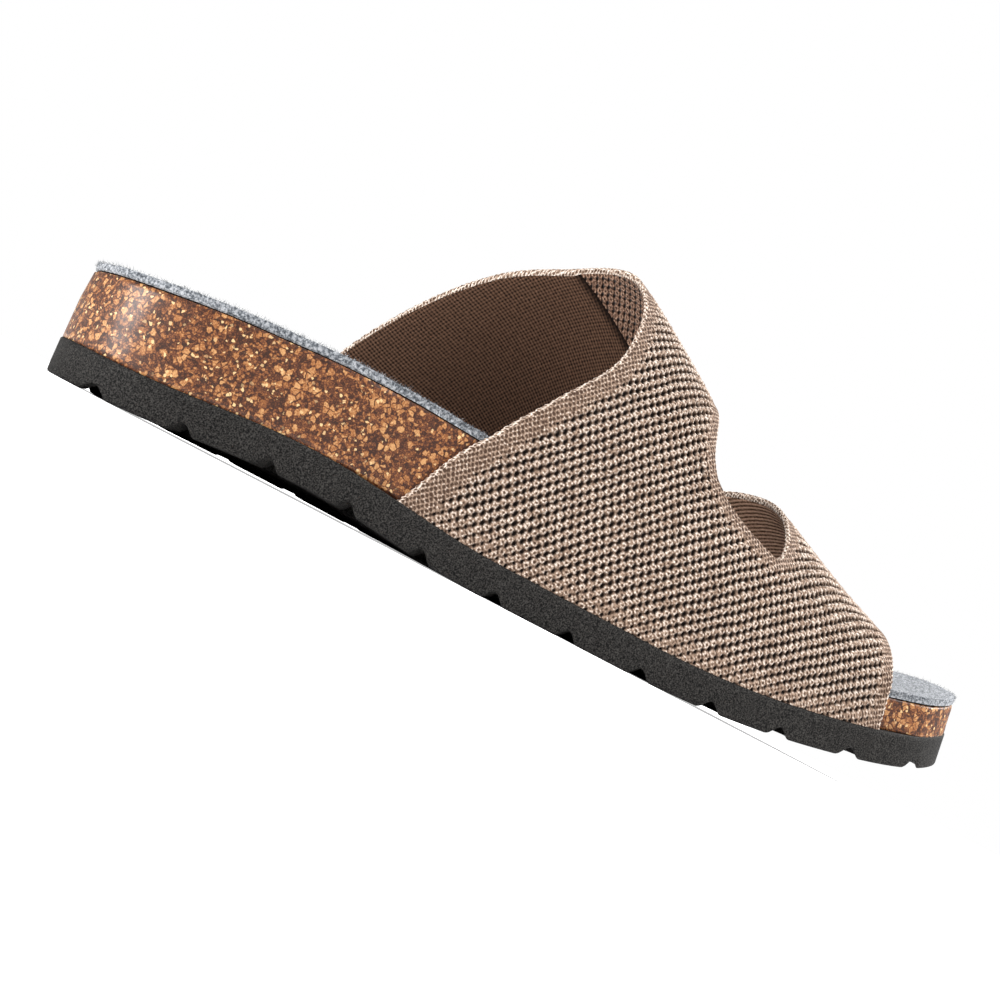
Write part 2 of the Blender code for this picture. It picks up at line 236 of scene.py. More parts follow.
def linear(colour: str) -> tuple[float, float, float, float]:
    """Turn an sRGB hex colour into linear light: a straight line near black, a power above it.

    Args:
        colour: Six hex digits after a hash sign.

    Returns:
        Linear red, green and blue, with alpha 1.
    """
    values = np.array([int(colour[place:place + 2], 16) for place in (1, 3, 5)]) / 255.0
    low = values / 12.92
    high = ((values + 0.055) / 1.055) ** 2.4
    red, green, blue = np.where(values <= 0.04045, low, high)
    return float(red), float(green), float(blue), 1.0


def column(rows: Sequence[NamedTuple], name: str) -> np.ndarray:
    """One named column of a table as an array."""
    return np.array([getattr(row, name) for row in rows])


def smooth(places: np.ndarray, values: np.ndarray, along: np.ndarray) -> np.ndarray:
    """Read a table as a smooth curve: a cubic between each two rows with shared slopes.

    Args:
        places: Rising places of the rows.
        values: Value at each place.
        along: Places to read, held inside the table.

    Returns:
        The value at each place read.
    """
    slopes = np.gradient(values, places)
    along = np.clip(along, places[0], places[-1])
    index = np.clip(np.searchsorted(places, along, side="right") - 1, 0, len(places) - 2)
    step = places[index + 1] - places[index]
    part = (along - places[index]) / step
    rise = part * part * (3.0 - 2.0 * part)
    leave = part * (1.0 - part) ** 2 * step
    arrive = part * part * (part - 1.0) * step
    start = values[index] * (1.0 - rise) + slopes[index] * leave
    return start + values[index + 1] * rise + slopes[index + 1] * arrive


def ease(value: np.ndarray, start: np.ndarray | float, end: np.ndarray | float) -> np.ndarray:
    """Rise smoothly from 0 at start to 1 at end, as 3 p squared less 2 p cubed."""
    part = np.clip((value - start) / (end - start), 0.0, 1.0)
    return part * part * (3.0 - 2.0 * part)


def round_end(depth: np.ndarray, power: float) -> np.ndarray:
    """Narrow from 1 to 0 along a superellipse as depth goes from 0 to 1."""
    return np.maximum(1.0 - np.clip(depth, 0.0, 1.0) ** power, 0.0) ** (1.0 / power)


def lattice_noise(points: np.ndarray, seed: int) -> np.ndarray:
    """Smooth noise from -1 to 1: random values on a unit lattice, eased between its corners.

    Args:
        points: Places, three numbers each, in lattice steps.
        seed: Changes the random values.

    Returns:
        One value for each place.
    """
    base = np.floor(points).astype(np.int64)
    part = points - base
    part = part * part * (3.0 - 2.0 * part)
    total = np.zeros(points.shape[:-1])
    primes = np.array(CORNER_PRIMES, dtype=np.int64)
    for corner in np.ndindex(2, 2, 2):
        offset = np.array(corner)
        mixed = np.bitwise_xor.reduce((base + offset) * primes, axis=-1) + seed * SEED_PRIME
        mixed = (mixed ^ (mixed >> 13)) * MIX_PRIME
        mixed = (mixed ^ (mixed >> 16)) & NOISE_LEVELS
        weight = np.prod(np.where(offset == 1, part, 1.0 - part), axis=-1)
        total += weight * (2.0 * mixed / NOISE_LEVELS - 1.0)
    return total


@dataclass(frozen=True)
class SoleForm:
    """Plan and heights that outsole, cork, insole and upper share, in millimetres."""

    length: float = 270.0
    ball_width: float = 97.0
    heel_height: float = 23.5
    outsole_thickness: float = 9.2
    heel_round: float = 34.0
    heel_power: float = 2.2
    toe_round_inner: float = 42.0
    toe_power_inner: float = 2.2
    toe_round_outer: float = 70.0
    toe_power_outer: float = 2.1
    toe_tip_shift: float = -6.0
    toe_tip_start: float = 180.0
    spring_start: float = 160.0
    spring_rate: float = 0.00165
    arch_centre: float = 63.0
    arch_half_length: float = 53.0
    arch_inner: float = 3.6
    arch_outer: float = 0.4
    toe_rake: float = 3.4
    toe_rake_start: float = 200.0
    heel_rake: float = 1.6
    heel_rake_end: float = 45.0
    rake_height: float = 20.0
    dish_power: float = 3.0
    rim_inset: float = 0.5
    end_rows: int = 26
    end_reach: float = 14.0

    def sides(self, x: np.ndarray) -> tuple[np.ndarray, np.ndarray]:
        """Y of the sole's inner and outer edge.

        Args:
            x: Stations.

        Returns:
            Both edges: the table's half widths, drawn to the spine by a superellipse at heel and toe.
        """
        spine = self.toe_tip_shift * ease(x, self.toe_tip_start, self.length)
        heel = round_end((self.heel_round - x) / self.heel_round, self.heel_power)
        past_inner = (x - self.length + self.toe_round_inner) / self.toe_round_inner
        past_outer = (x - self.length + self.toe_round_outer) / self.toe_round_outer
        share = x / self.length
        inner = -self.ball_width * smooth(column(OUTLINE, "at"), column(OUTLINE, "inner"), share)
        outer = self.ball_width * smooth(column(OUTLINE, "at"), column(OUTLINE, "outer"), share)
        inner = spine + (inner - spine) * heel * round_end(past_inner, self.toe_power_inner)
        outer = spine + (outer - spine) * heel * round_end(past_outer, self.toe_power_outer)
        return inner, outer

    def underside(self, x: np.ndarray, y: np.ndarray) -> np.ndarray:
        """Height of the lugs' faces above the floor.

        Args:
            x: Stations.
            y: Places across the sole.

        Returns:
            Heights: a toe spring, which is a parabola, and an arch, a squared cosine along the foot.
        """
        inner, outer = self.sides(x)
        share = np.clip((y - inner) / np.maximum(outer - inner, SMALLEST_WIDTH), 0.0, 1.0)
        spring = self.spring_rate * np.maximum(x - self.spring_start, 0.0) ** 2
        reach = np.clip((x - self.arch_centre) / self.arch_half_length, -1.0, 1.0)
        rise = self.arch_inner * (1.0 - share) + self.arch_outer * share
        return spring + rise * np.cos(0.5 * np.pi * reach) ** 2

    def outsole_top(self, x: np.ndarray, y: np.ndarray) -> np.ndarray:
        """Height of the outsole's upper face."""
        return self.underside(x, y) + self.outsole_thickness

    def bed_top(
        self,
        x: np.ndarray,
        y: np.ndarray,
        inner_inset: np.ndarray | float,
        outer_inset: np.ndarray | float,
    ) -> np.ndarray:
        """Height of the insole's upper face: a dish between a rim on each side.

        Args:
            x: Stations.
            y: Places across the sole.
            inner_inset: How far the inner rim lies inside the sole's edge.
            outer_inset: How far the outer rim lies inside it.

        Returns:
            Heights, which rise from the middle to the rims with a power of the share across.
        """
        inner, outer = self.sides(x)
        inner = inner + inner_inset
        outer = outer - outer_inset
        half = np.maximum(0.5 * (outer - inner), SMALLEST_WIDTH)
        across = np.clip((y - 0.5 * (inner + outer)) / half, -1.0, 1.0)
        share = x / self.length
        places = column(BED, "at")
        middle = smooth(places, column(BED, "middle"), share)
        rim_inner = smooth(places, column(BED, "inner"), share)
        rim_outer = smooth(places, column(BED, "outer"), share)
        rim = np.where(across < 0.0, rim_inner, rim_outer)
        dish = middle + (rim - middle) * np.abs(across) ** self.dish_power
        return self.outsole_top(x, y) + self.heel_height * dish

    def rake(self, grid: np.ndarray) -> np.ndarray:
        """Lean toe and heel along x by each point's height above the underside.

        Args:
            grid: Points, with x, y and z on the last axis.

        Returns:
            The points, moved forward low at the toe and backward high at the heel, both eased.
        """
        x = grid[..., 0]
        rise = np.clip((grid[..., 2] - self.underside(x, grid[..., 1])) / self.rake_height, 0.0, 1.0)
        forward = self.toe_rake * ease(x, self.toe_rake_start, self.length) * (1.0 - rise)
        backward = self.heel_rake * (1.0 - ease(x, 0.0, self.heel_rake_end)) * rise
        return np.concatenate(((x + forward - backward)[..., None], grid[..., 1:]), axis=-1)

    def stations(self, step: float) -> np.ndarray:
        """Stations from heel to toe.

        Args:
            step: Distance between stations in the middle.

        Returns:
            Even stations, and at the two round ends stations that crowd to the tip as a square does.
        """
        near = self.end_reach * np.linspace(0.0, 1.0, self.end_rows + 1)[:-1] ** 2
        count = int(round((self.length - 2.0 * self.end_reach) / step))
        middle = np.linspace(self.end_reach, self.length - self.end_reach, count + 1)
        return np.concatenate((near, middle, (self.length - near)[::-1]))

    def inset_edges(self, rows: np.ndarray, inner: np.ndarray, outer: np.ndarray) -> np.ndarray:
        """Move the sole's outline inward along its normals.

        Args:
            rows: Stations from heel to toe.
            inner: Inset of the inner edge at each station.
            outer: Inset of the outer edge at each station.

        Returns:
            Plan points, station by side by x and y; at heel and toe tip the sides meet.
        """
        inner_y, outer_y = self.sides(rows)
        forward = np.column_stack((rows, inner_y))
        backward = np.column_stack((rows, outer_y))[-2:0:-1]
        loop = np.concatenate((forward, backward))
        inset = np.concatenate((inner, outer[-2:0:-1]))
        along = np.roll(loop, -1, axis=0) - np.roll(loop, 1, axis=0)
        along /= np.linalg.norm(along, axis=1, keepdims=True)
        moved = loop + np.column_stack((-along[:, 1], along[:, 0])) * inset[:, None]
        count = len(rows)
        far = np.concatenate((moved[:1], moved[count:][::-1], moved[count - 1:count]))
        return np.stack((moved[:count], far), axis=1)


def span(edges: np.ndarray, columns: int) -> np.ndarray:
    """Fill plan points between two edges, closer together toward the edges.

    Args:
        edges: Station by side by x and y.
        columns: Number of steps across.

    Returns:
        Station by column by x and y.
    """
    share = 0.5 * (1.0 - np.cos(np.linspace(0.0, np.pi, columns + 1)))
    return edges[:, :1] + (edges[:, 1:] - edges[:, :1]) * share[None, :, None]


def with_height(plan: np.ndarray, height: np.ndarray) -> np.ndarray:
    """Give plan points their heights."""
    return np.concatenate((plan, np.broadcast_to(height, plan.shape[:2])[..., None]), axis=2)


def side_strips(levels: Sequence[np.ndarray]) -> list[np.ndarray]:
    """Grids of the two sides through loops that are given as station by side by point."""
    stacked = np.stack(levels, axis=2)
    return [stacked[:, 0], stacked[:, 1]]


def grid_normals(grid: np.ndarray) -> np.ndarray:
    """Unit normals of a grid.

    Args:
        grid: Row by column by point.

    Returns:
        The cross product of the grid's steps along its two directions, brought to length 1.
    """
    cross = np.cross(np.gradient(grid, axis=0), np.gradient(grid, axis=1))
    size = np.linalg.norm(cross, axis=-1, keepdims=True)
    return cross / np.maximum(size, SMALLEST_LENGTH)


@dataclass
class Patch:
    """A grid of points with the index of its material and an optional pattern place per point."""

    points: np.ndarray
    material: int = 0
    pattern: np.ndarray | None = None

    def faces(self, first: int) -> np.ndarray:
        """Quads of the grid.

        Args:
            first: Number of the grid's first point.

        Returns:
            Four corner numbers for each quad.
        """
        rows, columns = self.points.shape[:2]
        corner = first + np.arange(rows * columns).reshape(rows, columns)
        quads = (corner[:-1, :-1], corner[:-1, 1:], corner[1:, 1:], corner[1:, :-1])
        return np.stack(quads, axis=-1).reshape(-1, 4)

    def places(self) -> np.ndarray:
        """Pattern place of each point, zeros where the patch has none."""
        return np.zeros(self.points.shape) if self.pattern is None else self.pattern


def in_frame(points: np.ndarray) -> list[list[float]]:
    """Points in metres from the frame's origin, from millimetres from heel and floor."""
    return ((points.reshape(-1, 3) - np.array(HEEL_ORIGIN)) * MILLIMETRE).tolist()


def link_mesh(name: str, mesh: bpy.types.Mesh, materials: Sequence[bpy.types.Material]) -> bpy.types.Object:
    """Give a mesh its materials and put it into the scene at the origin.

    Args:
        name: Name of the object.
        mesh: A finished mesh.
        materials: Its materials in order.

    Returns:
        The new object.
    """
    for material in materials:
        mesh.materials.append(material)
    piece = bpy.data.objects.new(name, mesh)
    bpy.context.scene.collection.objects.link(piece)
    return piece


def make_piece(
    name: str,
    patches: Sequence[Patch],
    materials: Sequence[bpy.types.Material],
) -> bpy.types.Object:
    """Weld patches along their shared edges into one closed, smooth mesh object at the origin.

    Args:
        name: Name of the piece.
        patches: Grids in millimetres, from heel and floor.
        materials: Materials that the patches' indices name.

    Returns:
        The new object, linked to the scene.
    """
    counts = np.cumsum([0] + [patch.points.shape[0] * patch.points.shape[1] for patch in patches])
    faces = [patch.faces(first) for patch, first in zip(patches, counts)]
    corners = np.concatenate(faces)
    points = np.concatenate([patch.points.reshape(-1, 3) for patch in patches])
    mesh = bpy.data.meshes.new(name)
    mesh.from_pydata(in_frame(points), [], corners.tolist())
    index = np.concatenate([np.full(len(face), patch.material) for face, patch in zip(faces, patches)])
    mesh.polygons.foreach_set("material_index", index.astype(np.int32))
    if any(patch.pattern is not None for patch in patches):
        places = np.concatenate([patch.places().reshape(-1, 3) for patch in patches])
        layer = mesh.attributes.new(PATTERN, "FLOAT_VECTOR", "CORNER")
        layer.data.foreach_set("vector", places[corners.ravel()].astype(np.float32).ravel())
    weld(mesh)
    mesh.polygons.foreach_set("use_smooth", np.ones(len(mesh.polygons), dtype=bool))
    return link_mesh(name, mesh, materials)


def weld(mesh: bpy.types.Mesh) -> None:
    """Merge doubled points and turn faces outward.

    Args:
        mesh: Mesh of one closed body, which is changed in place.
    """
    solid = bmesh.new()
    solid.from_mesh(mesh)
    bmesh.ops.remove_doubles(solid, verts=solid.verts, dist=WELD_DISTANCE)
    bmesh.ops.recalc_face_normals(solid, faces=solid.faces)
    solid.to_mesh(mesh)
    solid.free()


class NodeTree:
    """Nodes of one material or world, added one at a time."""

    def __init__(self, tree: bpy.types.NodeTree) -> None:
        """Start with no nodes."""
        self.tree = tree
        tree.nodes.clear()

    def add(
        self,
        kind: str,
        inputs: Mapping[int | str, object] | Sequence[object] = (),
        stops: Sequence[tuple[float, str]] = (),
        **settings: object,
    ) -> bpy.types.NodeOutputs:
        """Add one node with its settings, colour stops, socket values and links.

        Args:
            kind: Type of the node, without its ShaderNode prefix.
            inputs: For each socket, by name or in order, a value or the socket that feeds it.
            stops: Place and hex colour of each stop, where the node has a colour ramp.
            settings: The node's own properties.

        Returns:
            The node's outputs.
        """
        node = self.tree.nodes.new("ShaderNode" + kind)
        for name, value in settings.items():
            setattr(node, name, value)
        for number, (place, colour) in enumerate(stops):
            elements = node.color_ramp.elements
            element = elements[number] if number < 2 else elements.new(place)
            element.position = place
            element.color = linear(colour)
        for key, value in inputs.items() if isinstance(inputs, Mapping) else enumerate(inputs):
            if isinstance(value, bpy.types.NodeSocket):
                self.tree.links.new(value, node.inputs[key])
            else:
                node.inputs[key].default_value = value
        return node.outputs


def blank_material(name: str) -> tuple[bpy.types.Material, NodeTree]:
    """New material and its empty node tree."""
    material = bpy.data.materials.new(name)
    material.use_nodes = True
    return material, NodeTree(material.node_tree)


def per_millimetre(size: float) -> float:
    """Texture scale on Object coordinates for a feature of a size in millimetres."""
    return 1.0 / (size * MILLIMETRE)


@dataclass(frozen=True)
class FoamFinish:
    """Expanded EVA, moulded with a fine grain: matt charcoal that breaks the light into specks.

    The real grain is finer than a pixel, so it is drawn about one pixel coarse.
    """

    tones: tuple[tuple[float, str], ...] = ((0.38, "#050505"), (0.72, "#3B3937"))
    grain_size: float = 0.36
    grain_detail: float = 1.0
    bump: float = 0.5
    relief: float = 0.10
    roughness: float = 0.75
    specular: float = 0.12

    def make(self) -> bpy.types.Material:
        """Make the foam: one noise of the grain's size sets its tone and its bump.

        Returns:
            Material of the outsole.
        """
        material, nodes = blank_material("moulded_eva_foam")
        place = nodes.add("TexCoord")["Object"]
        spots = {"Vector": place, "Scale": per_millimetre(self.grain_size), "Detail": self.grain_detail}
        grain = nodes.add("TexNoise", spots)[0]
        bump = {"Height": grain, "Strength": self.bump, "Distance": self.relief * MILLIMETRE}
        inputs = {
            "Base Color": nodes.add("ValToRGB", (grain,), stops=self.tones)[0],
            "Roughness": self.roughness,
            "Specular IOR Level": self.specular,
            "Normal": nodes.add("Bump", bump)[0],
        }
        nodes.add("OutputMaterial", (nodes.add("BsdfPrincipled", inputs)[0],))
        return material


@dataclass(frozen=True)
class CorkFinish:
    """Granulated cork, pressed with latex and lacquered: small tan flakes, packed in a dark brown
    binder with a few cream ones under a soft gloss; the cream flakes also paint the lacquer's tiny glints.

    Sizes are in millimetres. A range gives where a mask starts and where it is full.
    """

    tones: tuple[tuple[float, str], ...] = (
        (0.14, "#2D160A"),
        (0.32, "#4D2814"),
        (0.48, "#653A20"),
        (0.66, "#8B572E"),
        (0.88, "#B78A5A"),
    )
    cream_and_glint: str = "#CEAC7B"
    flake_size: float = 1.45
    flake_range: tuple[float, float] = (0.60, 0.64)
    flake_border: tuple[float, float] = (0.03, 0.14)
    flake_share: float = 0.65
    flake_lift: float = 0.22
    crumb_size: float = 0.66
    crumb_border: tuple[float, float] = (0.02, 0.20)
    crumb_share: float = 0.72
    binder_tones: tuple[float, float] = (-0.20, 0.06)
    dust_size: float = 0.38
    dust_detail: float = 3.0
    dust_share: float = 0.80
    tone_drop: float = 0.36
    fleck_size: float = 0.72
    fleck_range: tuple[float, float] = (0.83, 0.87)
    fleck_border: tuple[float, float] = (0.03, 0.12)
    bend_size: float = 1.0
    bend_detail: float = 2.0
    bend: float = 0.5
    bump: float = 0.25
    relief: float = 0.12
    roughness: float = 0.55
    specular: float = 0.25
    coat: float = 0.25
    coat_roughness: float = 0.28

    def make(self) -> bpy.types.Material:
        """Make the cork: large flakes lie among crumbs with dark borders, dust breaks up the tone of
        both, and a noise bends their outlines.

        Returns:
            Material of the footbed's side.
        """
        material, nodes = blank_material("lacquered_cork")
        place = nodes.add("TexCoord")["Object"]
        bends = {"Vector": place, "Scale": per_millimetre(self.bend_size), "Detail": self.bend_detail}
        push = (self.bend * MILLIMETRE,) * 3
        turned = nodes.add("TexNoise", bends)[1]
        bent = nodes.add("VectorMath", (turned, push, place), operation="MULTIPLY_ADD")[0]
        chips = {"Vector": bent, "Scale": per_millimetre(self.flake_size)}
        grit = {"Vector": bent, "Scale": per_millimetre(self.crumb_size)}
        specks = {"Vector": place, "Scale": per_millimetre(self.dust_size), "Detail": self.dust_detail}
        flake = nodes.add("TexVoronoi", chips)["Color"]
        flake_edge = nodes.add("TexVoronoi", chips, feature="DISTANCE_TO_EDGE")["Distance"]
        crumb = nodes.add("TexVoronoi", grit)["Color"]
        crumb_edge = nodes.add("TexVoronoi", grit, feature="DISTANCE_TO_EDGE")["Distance"]
        dust = nodes.add("TexNoise", specks)[0]
        large = nodes.add("MapRange", (flake, *self.flake_range))[0]
        whole = nodes.add("MapRange", (flake_edge, *self.flake_border))[0]
        shown = nodes.add("Math", (large, whole), operation="MULTIPLY")[0]
        binder = nodes.add("MapRange", (crumb_edge, *self.crumb_border, *self.binder_tones))[0]
        small_tone = nodes.add("Math", (crumb, self.crumb_share, binder), operation="MULTIPLY_ADD")[0]
        lifted = (flake, self.flake_share, self.flake_lift)
        large_tone = nodes.add("Math", lifted, operation="MULTIPLY_ADD")[0]
        tone = nodes.add("Mix", {0: shown, 2: small_tone, 3: large_tone})[0]
        tone = nodes.add("Math", (dust, self.dust_share, tone), operation="MULTIPLY_ADD")[0]
        tone = nodes.add("Math", (tone, self.tone_drop), operation="SUBTRACT")[0]
        colour = nodes.add("ValToRGB", (tone,), stops=self.tones)[0]
        # Cream flakes, few and small: pale cork, and painted glints of the lacquer
        pale = {"Vector": bent, "Scale": per_millimetre(self.fleck_size)}
        fleck = nodes.add("TexVoronoi", pale)["Color"]
        fleck_edge = nodes.add("TexVoronoi", pale, feature="DISTANCE_TO_EDGE")["Distance"]
        rare = nodes.add("MapRange", (fleck, *self.fleck_range))[0]
        clear = nodes.add("MapRange", (fleck_edge, *self.fleck_border))[0]
        mask = nodes.add("Math", (rare, clear), operation="MULTIPLY")[0]
        mixed = {0: mask, 6: colour, 7: linear(self.cream_and_glint)}
        bump = {"Height": tone, "Strength": self.bump, "Distance": self.relief * MILLIMETRE}
        inputs = {
            "Base Color": nodes.add("Mix", mixed, data_type="RGBA")[2],
            "Roughness": self.roughness,
            "Specular IOR Level": self.specular,
            "Coat Weight": self.coat,
            "Coat Roughness": self.coat_roughness,
            "Normal": nodes.add("Bump", bump)[0],
        }
        nodes.add("OutputMaterial", (nodes.add("BsdfPrincipled", inputs)[0],))
        return material


@dataclass(frozen=True)
class FeltFinish:
    """Pressed wool felt: soft pale grey fibres, peppered with dark flecks, without gloss."""

    tones: tuple[tuple[float, str], ...] = ((0.39, "#3A3E44"), (0.49, "#6E7277"), (0.60, "#A2A4A8"))
    fleck_size: float = 0.8
    fleck_detail: float = 1.0
    fibre_size: float = 0.45
    fibre_detail: float = 2.0
    bump: float = 0.8
    relief: float = 0.4
    roughness: float = 0.95
    sheen: float = 0.12

    def make(self) -> bpy.types.Material:
        """Make the felt: its tone is the mean of a fine and a coarse noise.

        Returns:
            Material of the insole and its loose fibres.
        """
        material, nodes = blank_material("pressed_wool_felt")
        place = nodes.add("TexCoord")["Object"]
        hairs = {"Vector": place, "Scale": per_millimetre(self.fibre_size), "Detail": self.fibre_detail}
        spots = {"Vector": place, "Scale": per_millimetre(self.fleck_size), "Detail": self.fleck_detail}
        fibre = nodes.add("TexNoise", hairs)[0]
        fleck = nodes.add("TexNoise", spots)[0]
        tone = nodes.add("Math", (fibre, fleck), operation="ADD")[0]
        tone = nodes.add("Math", (tone, 0.5), operation="MULTIPLY")[0]
        bump = {"Height": fibre, "Strength": self.bump, "Distance": self.relief * MILLIMETRE}
        inputs = {
            "Base Color": nodes.add("ValToRGB", (tone,), stops=self.tones)[0],
            "Roughness": self.roughness,
            "Sheen Weight": self.sheen,
            "Normal": nodes.add("Bump", bump)[0],
        }
        nodes.add("OutputMaterial", (nodes.add("BsdfPrincipled", inputs)[0],))
        return material


@dataclass(frozen=True)
class GapShadeFinish:
    """Painted shade: a thin dark line in the gap where the felt's edge stands over the cork."""

    tone: str = "#1C120C"
    roughness: float = 0.9
    specular: float = 0.1

    def make(self) -> bpy.types.Material:
        """Make the painted shade of the gap, one even dark tone.

        Returns:
            Material of the felt's underside.
        """
        material, nodes = blank_material("painted_gap_shade")
        inputs = {
            "Base Color": linear(self.tone),
            "Roughness": self.roughness,
            "Specular IOR Level": self.specular,
        }
        nodes.add("OutputMaterial", (nodes.add("BsdfPrincipled", inputs)[0],))
        return material


@dataclass(frozen=True)
class KnitGauge:
    """Mesh knit: staggered pores, a stitch apart along the foot and two rows apart up its side.

    Sizes are in millimetres. A pore's floor and edge are in its half sizes.
    """

    stitch: float = 2.80
    row_pair: float = 3.85
    pore_along: float = 0.58
    pore_up: float = 0.95
    pore_slant: float = 0.12
    pore_depth: float = 0.80
    pore_floor: float = 0.55
    pore_edge: float = 1.6
    bead_height: float = 0.30
    lean: float = 0.13
    sink_rate: float = 0.26
    sink_start: float = 60.0
    toe_sink_rate: float = 0.0036
    toe_sink_start: float = 140.0
    waver: float = 0.07
    waver_size: float = 5.0
    waver_seeds: tuple[int, int] = (21, 22)

    def place(self, x: np.ndarray, up: np.ndarray, openness: np.ndarray) -> np.ndarray:
        """Place of points in the knit, in stitches and row pairs.

        Args:
            x: Station along the foot.
            up: Length along the wall from its inner foot.
            openness: Size of the pores there, from 0 to 1.

        Returns:
            Stitch number, row pair number and openness of each point. Rows sink toward the toe by
            a straight part and a square part, and both numbers waver a little, as real rows do.
        """
        toe = np.maximum(x - self.toe_sink_start, 0.0)
        sink = self.sink_rate * (x - self.sink_start) + self.toe_sink_rate * toe * toe
        flat = np.stack((x, up, np.zeros_like(x)), axis=-1) / self.waver_size
        sway, swell = (self.waver * lattice_noise(flat, seed) for seed in self.waver_seeds)
        along = (x - self.lean * up) / self.stitch + sway
        above = (up + sink) / self.row_pair + swell
        return np.stack((along, above, openness), axis=-1)

    def pore(self, pattern: np.ndarray) -> np.ndarray:
        """Depth of the pores as a share of the full one.

        Args:
            pattern: Stitch number, row pair number and openness of each point.

        Returns:
            Shares from 0 to 1: a slanted oval dip at each place of a staggered lattice.
        """
        nearest = np.full(pattern.shape[:-1], np.inf)
        for shift in (0.0, 0.5):
            along = (pattern[..., 0] + shift) % 1.0 - 0.5
            up = ((pattern[..., 1] + shift) % 1.0 - 0.5) * self.row_pair
            across = along * self.stitch - self.pore_slant * up
            nearest = np.minimum(nearest, np.hypot(across / self.pore_along, up / self.pore_up))
        reach = nearest / np.maximum(pattern[..., 2], SMALLEST_OPENNESS)
        return 1.0 - ease(reach, self.pore_floor, self.pore_edge)

    def relief(self, pattern: np.ndarray) -> np.ndarray:
        """Height of the knit's face: loops, the product of two cosines, less the pores."""
        loops = -np.cos(2.0 * np.pi * pattern[..., 0]) * np.cos(2.0 * np.pi * pattern[..., 1])
        return self.bead_height * loops * pattern[..., 2] - self.pore_depth * self.pore(pattern)


